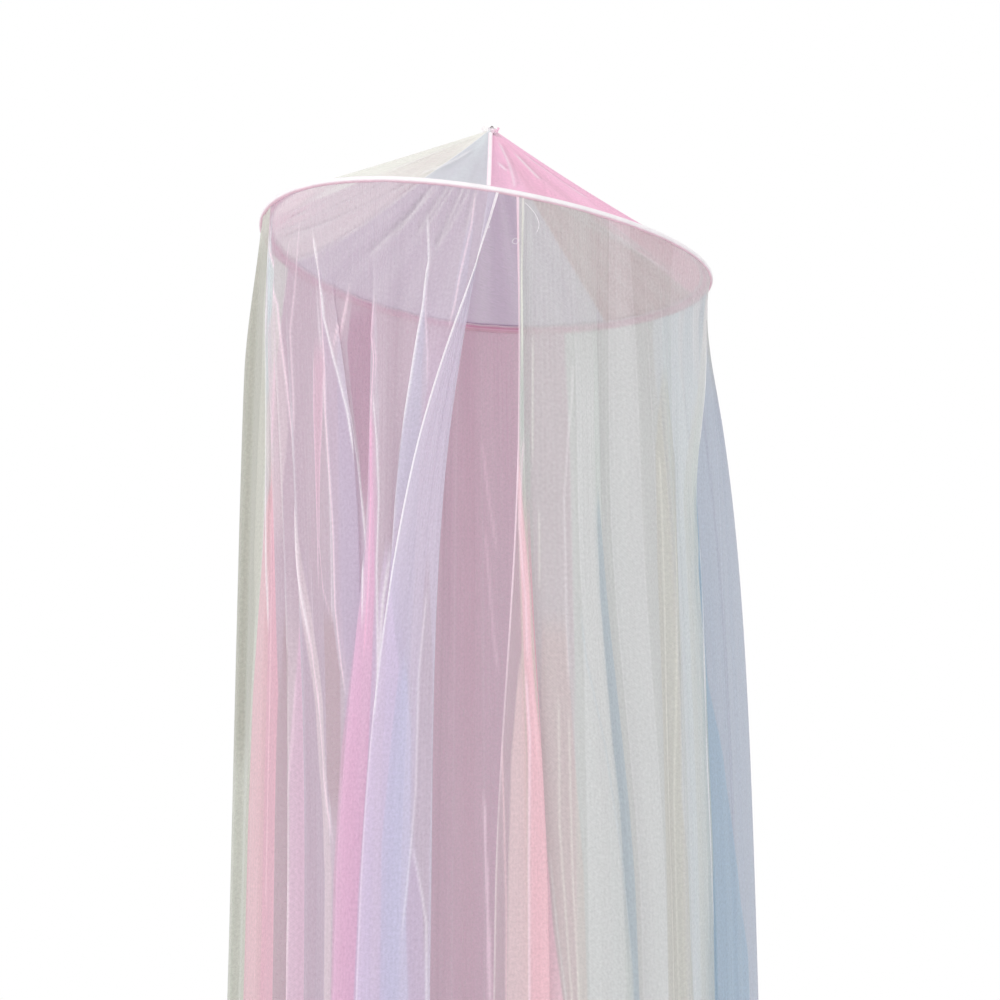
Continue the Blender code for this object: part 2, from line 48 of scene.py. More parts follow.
colours = {
    "mint": (0.66, 0.70, 0.67),
    "mintPale": (0.74, 0.78, 0.76),
    "mintOuter": (0.66, 0.68, 0.61),
    "olive": (0.63, 0.64, 0.56),
    "oliveDeep": (0.56, 0.57, 0.50),
    "beige": (0.68, 0.64, 0.60),
    "taupe": (0.60, 0.50, 0.52),
    "slate": (0.55, 0.62, 0.66),
    "sky": (0.41, 0.53, 0.64),
    "skyGrey": (0.49, 0.54, 0.63),
    "pearl": (0.58, 0.59, 0.59),
    "mauve": (0.62, 0.41, 0.52),
    "mauveDeep": (0.56, 0.36, 0.48),
    "blush": (0.82, 0.66, 0.66),
    "coral": (0.90, 0.55, 0.63),
    "coralPale": (0.92, 0.67, 0.72),
    "pearlPink": (0.82, 0.73, 0.77),
    "pearlLilac": (0.78, 0.72, 0.80),
    "wedgeLilac": (0.69, 0.61, 0.73),
    "greyLilac": (0.66, 0.59, 0.68),
    "veil": (0.72, 0.65, 0.72),
    "lilac": (0.68, 0.60, 0.74),
    "lavender": (0.76, 0.68, 0.83),
    "lavenderPale": (0.70, 0.66, 0.77),
    "lavenderBlue": (0.70, 0.68, 0.83),
    "orchid": (0.86, 0.61, 0.77),
    "orchidPale": (0.86, 0.65, 0.78),
    "pink": (0.99, 0.56, 0.75),
    "pinkPale": (0.93, 0.68, 0.80),
    "rose": (0.54, 0.28, 0.33),
    "roofLilac": (0.60, 0.49, 0.63),
    "roofBlush": (0.74, 0.58, 0.64),
    "cream": (0.94, 0.96, 0.87),
    "ice": (0.74, 0.81, 0.83),
    "white": (0.97, 0.95, 0.97),
    "whitePink": (0.98, 0.80, 0.88),
    "tapePink": (0.97, 0.56, 0.70),
    # the next two are the casing's seam allowance with painted shade, and its painted highlight
    "seamAndShadePink": (0.95, 0.46, 0.66),
    "highlightPink": (1.00, 0.86, 0.93),
    # painted shade of the pink gore's underside
    "underShadePink": (0.76, 0.32, 0.45),
}


def smoothShare(t):
    t = np.clip(t, 0.0, 1.0)
    return t * t * (3.0 - 2.0 * t)


def easedSlopes(values):
    # flat where the values turn, so the curve never overshoots
    v = np.asarray(values, float)
    slopes = np.zeros_like(v)
    before, after = v[1:-1] - v[:-2], v[2:] - v[1:-1]
    same = before * after > 0
    total = np.where(same, before + after, 1.0)
    slopes[1:-1] = np.where(same, 2.0 * before * after / total, 0.0)
    slopes[0], slopes[-1] = v[1] - v[0], v[-1] - v[-2]
    return slopes


def easedValue(values, places):
    v = np.asarray(values, float)
    slopes = easedSlopes(v)
    i = np.minimum(places.astype(int), len(v) - 2)
    t = places - i
    return (v[i] * (2 * t**3 - 3 * t**2 + 1) + slopes[i] * (t**3 - 2 * t**2 + t)
            + v[i + 1] * (3 * t**2 - 2 * t**3) + slopes[i + 1] * (t**3 - t**2))


def wobble(x, seeds):
    # a slow uneven wave, the same on every run
    total = sum(math.cos(1.7 * s) * np.sin(x * (0.6 + 0.37 * s) + 2.1 * s) for s in seeds)
    return total / len(seeds)


def blended(values, target, weight):
    # dyes or covers, moved towards the target by each point's weight
    if np.ndim(values) > np.ndim(weight):
        weight = weight[..., None]
    return values + (np.asarray(target) - values) * weight


def newMaterial(name):
    material = bpy.data.materials.new(name)
    material.use_nodes = True
    tree = material.node_tree
    tree.nodes.clear()
    return material, tree


def addNode(tree, kind, **settings):
    node = tree.nodes.new(kind)
    for key, value in settings.items():
        setattr(node, key, value)
    return node


def mathNode(tree, operation, a, b=None, clamp=False):
    node = addNode(tree, "ShaderNodeMath", operation=operation, use_clamp=clamp)
    for socket, value in zip(node.inputs, (a, b)):
        if value is None:
            continue
        if hasattr(value, "links"):
            tree.links.new(value, socket)
        else:
            socket.default_value = value
    return node.outputs[0]


def greyOf(tree, factor):
    grey = addNode(tree, "ShaderNodeCombineColor")
    for k in range(3):
        tree.links.new(factor, grey.inputs[k])
    return grey.outputs[0]


def mixColour(tree, kind, share, one, two):
    node = addNode(tree, "ShaderNodeMix", data_type="RGBA", blend_type=kind)
    for socket, value in ((node.inputs[0], share), (node.inputs[6], one), (node.inputs[7], two)):
        if hasattr(value, "links"):
            tree.links.new(value, socket)
        else:
            socket.default_value = value
    return node.outputs[2]


def noiseOn(tree, place, scale, stretch=(1.0, 1.0, 1.0), detail=2.0):
    mapping = addNode(tree, "ShaderNodeMapping")
    mapping.inputs["Scale"].default_value = stretch
    tree.links.new(place, mapping.inputs[0])
    noise = addNode(tree, "ShaderNodeTexNoise")
    noise.inputs["Scale"].default_value = scale
    noise.inputs["Detail"].default_value = detail
    tree.links.new(mapping.outputs[0], noise.inputs["Vector"])
    return noise.outputs[0]


def clothShader(tree, colour, seen, through, sheen, normal=None):
    # cloth that lets some light through, see-through where seen is under 1
    link = tree.links.new
    cloth = addNode(tree, "ShaderNodeBsdfPrincipled")
    cloth.inputs["Roughness"].default_value = 0.85
    cloth.inputs["Specular IOR Level"].default_value = 0.12
    cloth.inputs["Sheen Weight"].default_value = sheen
    cloth.inputs["Sheen Roughness"].default_value = 0.5
    link(colour, cloth.inputs["Base Color"])
    glow = addNode(tree, "ShaderNodeBsdfTranslucent")
    link(colour, glow.inputs[0])
    if normal is not None:
        link(normal, cloth.inputs["Normal"])
    body = addNode(tree, "ShaderNodeMixShader")
    body.inputs[0].default_value = through
    link(cloth.outputs[0], body.inputs[1])
    link(glow.outputs[0], body.inputs[2])
    clear = addNode(tree, "ShaderNodeBsdfTransparent")
    mixed = addNode(tree, "ShaderNodeMixShader")
    link(seen, mixed.inputs[0])
    link(clear.outputs[0], mixed.inputs[1])
    link(body.outputs[0], mixed.inputs[2])
    out = addNode(tree, "ShaderNodeOutputMaterial")
    link(mixed.outputs[0], out.inputs[0])


netLook = {
    "threadPitch": 1.9 * mm,    # of the net's slanting threads
    "weaveShare": 0.30,         # how much less the holes cover than the threads
    "through": 0.30,            # share of the light that comes through the cloth
    "sheen": 0.20,
    "streak": 0.07,             # unevenness along the cloth
    "grain": 0.22,              # and from mesh to mesh
}


def netMaterial(name):
    material, tree = newMaterial(name)
    uv = addNode(tree, "ShaderNodeUVMap", uv_map="cloth").outputs[0]
    split = addNode(tree, "ShaderNodeSeparateXYZ")
    tree.links.new(uv, split.inputs[0])
    # two sets of threads that cross on the slant
    turn = 2.0 * math.pi / netLook["threadPitch"]
    across = mathNode(tree, "MULTIPLY", split.outputs[0], turn)
    down = mathNode(tree, "MULTIPLY", split.outputs[1], turn * 0.62)
    one = mathNode(tree, "SINE", mathNode(tree, "ADD", across, down))
    two = mathNode(tree, "SINE", mathNode(tree, "SUBTRACT", across, down))
    thread = mathNode(tree, "MAXIMUM", one, two)
    thread = mathNode(tree, "MULTIPLY", mathNode(tree, "SUBTRACT", thread, 0.1), 1.6, clamp=True)
    broad = noiseOn(tree, uv, 1.0, (48.0, 6.0, 1.0), 4.0)
    lines = noiseOn(tree, uv, 1.0, (260.0, 5.0, 1.0), 2.0)
    grain = noiseOn(tree, uv, 240.0, detail=3.0)

    dye = addNode(tree, "ShaderNodeAttribute", attribute_name="dye")
    cover = addNode(tree, "ShaderNodeAttribute", attribute_name="cover")
    streak = mathNode(tree, "ADD", mathNode(tree, "MULTIPLY", broad, netLook["streak"]),
                      mathNode(tree, "MULTIPLY", lines, netLook["streak"]))
    mottle = mathNode(tree, "ADD", streak, mathNode(tree, "MULTIPLY", grain, netLook["grain"]))
    mottle = mathNode(tree, "ADD", mottle, 1.0 - netLook["streak"] - netLook["grain"] / 2.0)
    colour = mixColour(tree, "MULTIPLY", 1.0, dye.outputs["Color"], greyOf(tree, mottle))

    weave = mathNode(tree, "ADD", mathNode(tree, "MULTIPLY", thread, netLook["weaveShare"]),
                     1.0 - netLook["weaveShare"] * 0.55)
    uneven = mathNode(tree, "ADD", mathNode(tree, "MULTIPLY", lines, 0.08),
                      mathNode(tree, "MULTIPLY", grain, 0.30))
    uneven = mathNode(tree, "ADD", uneven, 0.81)
    seen = mathNode(tree, "MULTIPLY", cover.outputs["Fac"], weave)
    seen = mathNode(tree, "MULTIPLY", seen, uneven, clamp=True)
    clothShader(tree, colour, seen, netLook["through"], netLook["sheen"])
    return material


tapeLook = {
    "twillPitch": 0.9 * mm,
    "stitchPitch": 3.2 * mm,
    "stitchWidth": 0.45 * mm,
    "through": 0.12,
    "sheen": 0.35,
}


def tapeMaterial(name, stitchRows=(), joinAt=None):
    # woven tape, with rows of stitches at these heights of its UV and a join across it
    material, tree = newMaterial(name)
    uv = addNode(tree, "ShaderNodeUVMap", uv_map="cloth").outputs[0]
    split = addNode(tree, "ShaderNodeSeparateXYZ")
    tree.links.new(uv, split.inputs[0])
    along, across = split.outputs[0], split.outputs[1]
    slant = mathNode(tree, "ADD", along, across)
    twill = mathNode(tree, "SINE", mathNode(tree, "MULTIPLY", slant, 2 * math.pi / tapeLook["twillPitch"]))
    grain = noiseOn(tree, uv, 900.0)
    broad = noiseOn(tree, uv, 60.0, detail=3.0)
    shade = mathNode(tree, "ADD", mathNode(tree, "MULTIPLY", twill, 0.05),
                     mathNode(tree, "MULTIPLY", grain, 0.12))
    shade = mathNode(tree, "ADD", shade, mathNode(tree, "MULTIPLY", broad, 0.22))
    shade = mathNode(tree, "ADD", shade, 0.84)
    dye = addNode(tree, "ShaderNodeAttribute", attribute_name="dye")
    cover = addNode(tree, "ShaderNodeAttribute", attribute_name="cover")
    colour = mixColour(tree, "MULTIPLY", 1.0, dye.outputs["Color"], greyOf(tree, shade))
    seen = mathNode(tree, "ADD", cover.outputs["Fac"], mathNode(tree, "MULTIPLY", twill, 0.05))

    wave = mathNode(tree, "SINE", mathNode(tree, "MULTIPLY", along, 2 * math.pi / tapeLook["stitchPitch"]))
    dash = mathNode(tree, "GREATER_THAN", wave, -0.35)
    height = mathNode(tree, "MULTIPLY", twill, 0.3)
    for row in stitchRows:
        away = mathNode(tree, "ABSOLUTE", mathNode(tree, "SUBTRACT", across, row))
        near = mathNode(tree, "LESS_THAN", away, tapeLook["stitchWidth"])
        stitch = mathNode(tree, "MULTIPLY", dash, near)
        colour = mixColour(tree, "MIX", stitch, colour, (*colours["whitePink"], 1.0))
        seen = mathNode(tree, "MAXIMUM", seen, stitch)
        height = mathNode(tree, "ADD", height, stitch)
    if joinAt is not None:
        away = mathNode(tree, "ABSOLUTE", mathNode(tree, "SUBTRACT", along, joinAt))
        near = mathNode(tree, "LESS_THAN", away, 0.9 * mm)
        share = mathNode(tree, "MULTIPLY", near, 0.8)
        colour = mixColour(tree, "MIX", share, colour, (*colours["white"], 1.0))
        height = mathNode(tree, "ADD", height, near)
    bump = addNode(tree, "ShaderNodeBump")
    bump.inputs["Strength"].default_value = 0.35
    bump.inputs["Distance"].default_value = 0.3 * mm
    tree.links.new(height, bump.inputs["Height"])
    seen = mathNode(tree, "MULTIPLY", seen, 1.0, clamp=True)
    clothShader(tree, colour, seen, tapeLook["through"], tapeLook["sheen"], bump.outputs[0])
    return material


metalLook = {
    "coat": (0.80, 0.62, 0.68),       # the hoop's plastic coat
    "steel": (0.34, 0.29, 0.29),
    "steelDull": (0.20, 0.16, 0.17),
}


def wireMaterial(name, light, dark, metallic, roughness):
    # a worn surface: the colour and the gloss change in blotches
    material, tree = newMaterial(name)
    place = addNode(tree, "ShaderNodeTexCoord").outputs["Object"]
    blotch = noiseOn(tree, place, 420.0, detail=4.0)
    fine = noiseOn(tree, place, 2600.0)
    skin = addNode(tree, "ShaderNodeBsdfPrincipled")
    skin.inputs["Metallic"].default_value = metallic
    tree.links.new(mixColour(tree, "MIX", blotch, (*light, 1.0), (*dark, 1.0)), skin.inputs["Base Color"])
    rough = mathNode(tree, "ADD", mathNode(tree, "MULTIPLY", fine, 0.3), roughness - 0.15)
    tree.links.new(rough, skin.inputs["Roughness"])
    bump = addNode(tree, "ShaderNodeBump")
    bump.inputs["Strength"].default_value = 0.15
    bump.inputs["Distance"].default_value = 0.1 * mm
    tree.links.new(fine, bump.inputs["Height"])
    tree.links.new(bump.outputs[0], skin.inputs["Normal"])
    out = addNode(tree, "ShaderNodeOutputMaterial")
    tree.links.new(skin.outputs[0], out.inputs[0])
    return material


def meshObject(name, points, faces, cornerUvs, dyes, cover, material):
    mesh = bpy.data.meshes.new(name)
    mesh.from_pydata(points.tolist(), [], faces)
    layer = mesh.uv_layers.new(name="cloth")
    layer.data.foreach_set("uv", np.asarray(cornerUvs, np.float32).ravel())
    rgba = np.ones((len(points), 4), np.float32)
    rgba[:, :3] = dyes
    mesh.attributes.new("dye", "FLOAT_COLOR", "POINT").data.foreach_set("color", rgba.ravel())
    shares = np.zeros(len(points), np.float32) + cover
    mesh.attributes.new("cover", "FLOAT", "POINT").data.foreach_set("value", shares)
    mesh.materials.append(material)
    mesh.shade_smooth()
    piece = bpy.data.objects.new(name, mesh)
    bpy.context.collection.objects.link(piece)
    return piece


def gridObject(name, points, uvs, dyes, cover, material, closed=False):
    # points are columns x rows; a closed one has one more column of uvs than of points
    columns, rows = points.shape[:2]
    index = np.arange(columns * rows).reshape(columns, rows)
    if closed:
        index = np.vstack([index, index[:1]])
    faces = np.stack([index[:-1, :-1], index[:-1, 1:], index[1:, 1:], index[1:, :-1]], axis=-1)
    corners = np.stack([uvs[:-1, :-1], uvs[:-1, 1:], uvs[1:, 1:], uvs[1:, :-1]], axis=2)
    return meshObject(name, points.reshape(-1, 3), faces.reshape(-1, 4).tolist(), corners.reshape(-1, 2),
                      dyes.reshape(-1, 3), cover.reshape(-1), material)


def tubeObject(name, rings, dye, cover, material, closed=False):
    # rings are stations x points round; an open tube gets flat ends
    stations, sides = rings.shape[:2]
    index = np.arange(stations * sides).reshape(stations, sides)
    index = np.hstack([index, index[:, :1]])
    if closed:
        index = np.vstack([index, index[:1]])
    middles = rings.mean(axis=1)
    steps = np.linalg.norm(np.diff(np.vstack([middles, middles[:1]]), axis=0), axis=-1)
    along = np.concatenate([[0.0], np.cumsum(steps)])[:len(index)]
    girth = np.linalg.norm(rings[0] - np.roll(rings[0], 1, axis=0), axis=-1).sum()
    uvs = np.zeros((*index.shape, 2))
    uvs[..., 0] = along[:, None]
    uvs[..., 1] = girth * np.linspace(0, 1, sides + 1)[None, :]
    faces = np.stack([index[:-1, :-1], index[:-1, 1:], index[1:, 1:], index[1:, :-1]], axis=-1)
    corners = np.stack([uvs[:-1, :-1], uvs[:-1, 1:], uvs[1:, 1:], uvs[1:, :-1]], axis=2).reshape(-1, 2)
    faces = faces.reshape(-1, 4).tolist()
    if not closed:
        faces += [index[0, :-1][::-1].tolist(), index[-1, :-1].tolist()]
        corners = np.vstack([corners, uvs[0, :-1][::-1], uvs[-1, :-1]])
    return meshObject(name, rings.reshape(-1, 3), faces, corners, np.array(dye), cover, material)


def ringsOn(path, radius, sides=8, closed=False):
    # round sections across a path
    path = np.asarray(path, float)
    ahead = np.roll(path, -1, axis=0) - np.roll(path, 1, axis=0)
    if not closed:
        ahead[0], ahead[-1] = path[1] - path[0], path[-1] - path[-2]
    ahead /= np.linalg.norm(ahead, axis=-1, keepdims=True)
    helper = np.where(np.abs(ahead[:, 1:2]) < 0.8, [[0.0, 1.0, 0.0]], [[1.0, 0.0, 0.0]])
    side = np.cross(ahead, helper)
    side /= np.linalg.norm(side, axis=-1, keepdims=True)
    up = np.cross(side, ahead)
    turn = np.linspace(0, 2 * math.pi, sides, endpoint=False)
    ring = side[:, None, :] * np.cos(turn)[None, :, None] - up[:, None, :] * np.sin(turn)[None, :, None]
    return path[:, None, :] + ring * radius


def clothArea(points):
    a, b = points[:-1, :-1] - points[1:, 1:], points[:-1, 1:] - points[1:, :-1]
    return float(np.linalg.norm(np.cross(a, b), axis=-1).sum() / 2.0)


hoopLine = {
    "radius": 0.300,
    "wire": 2.5 * mm,
    "drop": 0.190,
    "shiftX": -6.5 * mm,
    "roll": math.radians(7.0),
    "warpCos": -5.0 * mm,
    "warpSin": -6.0 * mm,
    "stations": 120,
}


def hoopAt(angle):
    # the wire's middle, for angles in degrees
    turn = np.radians(np.asarray(angle, float))
    side = hoopLine["radius"] * np.sin(turn)
    warp = hoopLine["warpCos"] * np.cos(2 * turn) + hoopLine["warpSin"] * np.sin(2 * turn)
    x = hoopLine["shiftX"] + side * math.cos(hoopLine["roll"])
    y = -hoopLine["radius"] * np.cos(turn)
    z = -hoopLine["drop"] - side * math.sin(hoopLine["roll"]) + warp
    return np.stack([x, y, z], axis=-1)


def selectPoints(mesh, test):
    shape = bmesh.from_edit_mesh(mesh)
    for vertex in shape.verts:
        vertex.select = test(vertex.co)
    shape.select_flush(True)
    bmesh.update_edit_mesh(mesh)


def makeHoop():
    # a flat ring, tipped to the right, then bent out of flat point by point and thickened
    bpy.ops.object.select_all(action="DESELECT")
    bpy.ops.mesh.primitive_circle_add(vertices=hoopLine["stations"], radius=hoopLine["radius"],
                                      location=(hoopLine["shiftX"], 0, -hoopLine["drop"]),
                                      rotation=(0, hoopLine["roll"], 0))
    wire = bpy.context.active_object
    wire.name = "hoopWire"
    bpy.ops.object.transform_apply(location=True, rotation=True, scale=True)
    bpy.ops.object.mode_set(mode="EDIT")
    bpy.ops.mesh.select_mode(type="VERT")
    for i in range(hoopLine["stations"]):
        angle = 360.0 * i / hoopLine["stations"]
        target = Vector(hoopAt(angle))
        flat = Vector((target.x, target.y, 0.0))
        selectPoints(wire.data, lambda co: (Vector((co.x, co.y, 0.0)) - flat).length < 2 * mm)
        turn = math.radians(angle)
        warp = hoopLine["warpCos"] * math.cos(2 * turn) + hoopLine["warpSin"] * math.sin(2 * turn)
        bpy.ops.transform.translate(value=(0, 0, warp))
    bpy.ops.object.mode_set(mode="OBJECT")
    bpy.ops.object.convert(target="CURVE")
    wire = bpy.context.active_object
    wire.data.bevel_depth = hoopLine["wire"]
    wire.data.bevel_resolution = 3
    bpy.ops.object.convert(target="MESH")
    wire = bpy.context.active_object
    bpy.ops.object.shade_smooth()
    wire.data.materials.clear()
    dull = tuple(0.75 * part for part in metalLook["coat"])
    wire.data.materials.append(wireMaterial("hoopCoat", metalLook["coat"], dull, 0.0, 0.45))
    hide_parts("hoop")
    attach(wire, "root")


makeHoop()
print("hoop: wire made")

casing = {
    "slope": math.radians(20.0),
    "leg": 13.5 * mm,
    "foldRadius": 3.8 * mm,
    "legGap": 1.4 * mm,
    "columns": 420,
    "pucker": 0.30 * mm,
    "joinAngle": 84.0,
    "length": 1.885,             # of the tape, round the hoop
    "foldFrom": 0.30,            # shares of the way round its section: the pale fold, white wire showing and a painted highlight
    "foldTo": 0.57,
    "lowerLeg": 0.70,            # where the pinker lower leg begins: seam allowance with painted shade
    "highlightBend": 0.76,          # and the painted highlight line on it
    "rimHighlightWidth": 3.6 * mm,
    "cover": 0.76,
    "coverMost": 0.97,
    "stitchIn": 2.2 * mm,        # from the tape's edges
    "secondStitchIn": 4.6 * mm,
}


def pocketAt(angle, inward, lift):
    # a point of the casing's pocket: inward along its slope, and lift across it
    turn = np.radians(np.asarray(angle, float))
    roll, slope = hoopLine["roll"], casing["slope"]
    outward = np.stack([np.sin(turn) * math.cos(roll), -np.cos(turn),
                        -np.sin(turn) * math.sin(roll)], axis=-1)
    upward = np.array([math.sin(roll), 0.0, math.cos(roll)])
    along = -outward * math.cos(slope) + upward * math.sin(slope)
    across = outward * math.sin(slope) + upward * math.cos(slope)
    inward, lift = np.asarray(inward, float), np.asarray(lift, float)
    return hoopAt(angle) + along * inward[..., None] + across * lift[..., None]


def makeCasing():
    # tape folded round the wire, its two legs stitched together over the nets' edges
    gap, leg, bend = casing["legGap"], casing["leg"], casing["foldRadius"]
    section = [(leg * k, gap) for k in (1.0, 0.9, 0.78, 0.65, 0.52, 0.42)]
    section += [(4.6 * mm, gap + 0.3 * mm), (3.0 * mm, gap + 0.9 * mm)]
    for turn in (72, 92, 112, 132, 152, 172, 188, 208, 228, 248, 268, 288):
        section.append((bend * math.cos(math.radians(turn)), bend * math.sin(math.radians(turn))))
    section += [(x, -z) for x, z in reversed(section[:8])]
    section = np.array(section)
    steps = np.linalg.norm(np.diff(section, axis=0), axis=-1)
    height = np.concatenate([[0.0], np.cumsum(steps)])
    columns = casing["columns"]
    angle = np.linspace(0, 360, columns, endpoint=False)[:, None] + np.zeros((1, len(section)))
    inward = section[None, :, 0] + np.zeros_like(angle)
    lift = section[None, :, 1] + np.zeros_like(angle)
    onLeg = smoothShare((inward - 4.0 * mm) / (8.0 * mm))
    place = np.radians(angle)
    ripple = np.sin(67 * place + 1.6 * np.sin(9 * place)) * (0.6 + 0.4 * np.sin(23 * place))
    lift = lift + casing["pucker"] * ripple * onLeg
    inward = inward + 0.5 * mm * np.sin(41 * place + np.sin(5 * place)) * onLeg
    points = pocketAt(angle, inward, lift)
    uvs = np.zeros((columns + 1, len(section), 2))
    uvs[..., 0] = np.linspace(0, 2 * math.pi * hoopLine["radius"], columns + 1)[:, None]
    uvs[..., 1] = height[None, :]

    # the fold is pale where the white wire shows through, with a painted highlight on top; its underside and
    # the lower leg are the pinkest, painted shade over the leg's seam allowance; the edges are painted
    # highlights
    down = height / height[-1]
    wireAndHighlight = smoothShare((casing["foldTo"] - down) / 0.08) * smoothShare((down - casing["foldFrom"]) / 0.08)
    pink, white = np.array(colours["tapePink"]), np.array(colours["white"])
    dyes = pink + (white - pink) * (0.30 + 0.70 * wireAndHighlight)[:, None]
    dyes = blended(dyes, colours["seamAndShadePink"], smoothShare((down - casing["lowerLeg"]) / 0.05))
    # painted highlights along both edges of the tape and along the bend of its lower leg
    edge = np.minimum(height, height[-1] - height)
    rim = smoothShare((casing["rimHighlightWidth"] - edge) / (1.0 * mm))
    bend = np.exp(-((down - casing["highlightBend"]) / 0.025)**2)
    dyes = blended(dyes, colours["highlightPink"], np.maximum(rim, bend))
    dyes = np.repeat(dyes[None, :, :], columns, axis=0)
    cover = casing["cover"] + 0.20 * rim + 0.20 * wireAndHighlight + 0.20 * bend
    cover = np.repeat(np.minimum(cover, casing["coverMost"])[None, :], columns, axis=0)
    stitchIn = casing["stitchIn"]
    stitchRows = (stitchIn, height[-1] - stitchIn, height[-1] - casing["secondStitchIn"])
    material = tapeMaterial("casingTape", stitchRows,
                            math.radians(casing["joinAngle"]) * hoopLine["radius"])
    piece = gridObject("hoopCasingTape", points, uvs, dyes, cover, material, closed=True)
    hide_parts("hoop_casing")
    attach(piece, "root")


makeCasing()
print("casing: tape folded round the wire")

curtain = {
    "length": 2.25,
    "head": 3.6 * mm,
    "midLevel": 0.35,
    "lowLevel": 0.85,
    "hoopGather": 0.15,
    "foldSettle": 0.20,
    "flare": {"front": 0.020, "right": 0.034, "back": 0.022, "left": 0.011},
    "flareRun": {"front": 0.18, "right": 0.27, "back": 0.22, "left": 0.12},
    "pinchRight": 15.5 * mm,     # the low side of the hoop draws its curtain in
    "pinchDepth": 0.12,
    "hemFlare": 0.020,
    "frontPitch": 1.5 * mm,      # between columns of points
    "backPitch": 3.2 * mm,
    "rowPitch": 7.0 * mm,
    "pleatPitch": 14.0 * mm,
    "pleatHeight": 0.7 * mm,
    "hemDepth": 15.0 * mm,
    "freeHem": 4.0 * mm,
    "creaseHighlightWidth": 1.3 * mm,
    "slack": 1.12,               # cloth along a row, compared with its folds' own length
    "stripSoft": 0.45,           # degrees over which a pleat's side comes in
    "lineRadius": 320.0,         # mm, about how far from the middle the crease lines lie
    "lineLift": 0.7 * mm,
    "lineCover": 0.92,
    "hemCover": 0.90,
    "rightHem": ("whitePink", 0.45),     # a free edge's dye, and how strong it stays low down
    "leftHem": ("white", 0.30),
    "rightHead": ("mint", 0.56),     # the cloth by the hoop, before its own dye comes in
    "leftHead": ("veil", 0.40),
    "dyeRun": 0.16,
}

# A row for each fold line, from the right free edge round the back to the left free edge:
# angle at the hoop, mid and low down, how far it stands out in mm, the dye and the cover of
# the cloth from here to the next line, how strong the painted highlight on its crease is, and how far down
# the dye begins.
rightRows = [
    (7.5, 6.8, 2.3, 8.0, "beige", 0.58, 0.0, 0.30),
    (8.6, 8.7, 13.0, 4.0, "coralPale", 0.60, 0.4, 0.34),
    (9.5, 7.4, 8.6, -1.0, "coral", 0.62, 0.4, 0.34),
    (10.8, 10.0, 13.6, -6.0, "beige", 0.50, 0.2, 0.50),
    (15.0, 14.5, 18.0, 2.0, "mint", 0.56, 0.0, 0.0),
    (20.0, 20.0, 23.0, 7.0, "mintPale", 0.54, 0.1, 0.1),
    (26.0, 25.6, 32.4, 2.5, "mint", 0.52, 0.1, 0.0),
    (27.6, 24.4, 30.0, -3.0, "mint", 0.52, 0.1, 0.0),
    (31.0, 29.0, 35.0, -7.0, "mintPale", 0.52, 0.1, 0.0),
    (37.0, 36.0, 40.0, 3.0, "mint", 0.52, 0.1, 0.0),
    (42.0, 41.5, 43.5, -5.0, "mint", 0.54, 0.15, 0.0),
    (46.5, 45.0, 46.0, 4.0, "mint", 0.54, 0.15, 0.0),
    (53.0, 47.0, 48.3, -2.0, "mintPale", 0.54, 0.1, 0.0),
    (66.0, 50.6, 52.0, 6.0, "mintPale", 0.56, 0.2, 0.0),
    (84.0, 54.6, 56.2, 1.0, "mintPale", 0.60, 0.6, 0.0),
    (85.5, 51.0, 51.6, -5.0, "mintPale", 0.60, 0.4, 0.0),
    (87.5, 57.0, 58.0, -10.0, "skyGrey", 0.62, 0.3, 0.04),
    (91.0, 69.0, 68.0, -2.0, "skyGrey", 0.62, 0.1, 0.04),
    (96.0, 86.0, 86.0, 6.5, "sky", 0.64, 0.1, 0.0),
]

gatheredRound = [
    # from, to (degrees), folds, how deep (mm), dyes, cover
    (96.0, 128.0, 3, 6.0, ("skyGrey", "sky"), 0.66),
    (128.0, 158.0, 2, 7.0, ("pearl", "pearl"), 0.76),
    (158.0, 247.0, 6, 8.0, ("mauve", "mauve"), 0.84),
    (247.0, 292.0, 5, 6.0, ("mintOuter", "mintOuter"), 0.78),
]

leftRows = [
    (292.0, 301.5, 295.8, 4.0, "coral", 0.60, 0.5, 0.34),
    (293.2, 302.8, 303.9, -3.0, "coralPale", 0.60, 0.3, 0.34),
    (294.3, 304.6, 309.2, 4.0, "taupe", 0.46, 0.2, 0.52),
    (295.4, 306.4, 312.8, -4.0, "pearlPink", 0.50, 0.2, 0.48),
    (297.0, 308.4, 314.6, 5.0, "pearlPink", 0.50, 0.3, 0.48),
    (299.8, 311.4, 317.8, -4.0, "greyLilac", 0.48, 0.2, 0.45),
    (304.5, 313.4, 320.4, 5.0, "greyLilac", 0.46, 0.2, 0.45),
    (309.8, 316.4, 322.8, -3.0, "greyLilac", 0.46, 0.4, 0.45),
    (314.6, 324.0, 326.4, 3.0, "pearlLilac", 0.44, 0.5, 0.10),
    (317.2, 330.3, 333.2, -1.5, "lilac", 0.40, 0.4, 0.10),
    (322.0, 325.6, 328.6, -6.0, "greyLilac", 0.36, 0.2, 0.30),
    (328.5, 330.0, 331.6, -9.0, "veil", 0.34, 0.1, 0.30),
    (333.0, 337.0, 336.8, 0.5, "lilac", 0.40, 0.15, 0.40),
    (334.8, 335.1, 328.9, 7.0, "lilac", 0.40, 0.10, 0.40),
    (336.8, 338.0, 334.2, 12.0, "lavenderBlue", 0.46, 0.15, 0.45),
    (339.2, 339.6, 337.2, 6.0, "lavenderBlue", 0.45, 0.15, 0.45),
    (343.5, 341.5, 338.8, -6.0, "lavenderBlue", 0.42, 0.1, 0.40),
    (347.8, 346.0, 343.0, -3.0, "lilac", 0.40, 0.1, 0.40),
    (350.6, 341.8, 338.8, 2.0, "lavender", 0.45, 0.1, 0.10),
    (361.0, 352.2, 349.7, 8.0, "lavenderPale", 0.50, 0.4, 0.0),
    (363.4, 345.1, 335.3, 16.0, "white", 0.90, 0.0, 0.0),
]
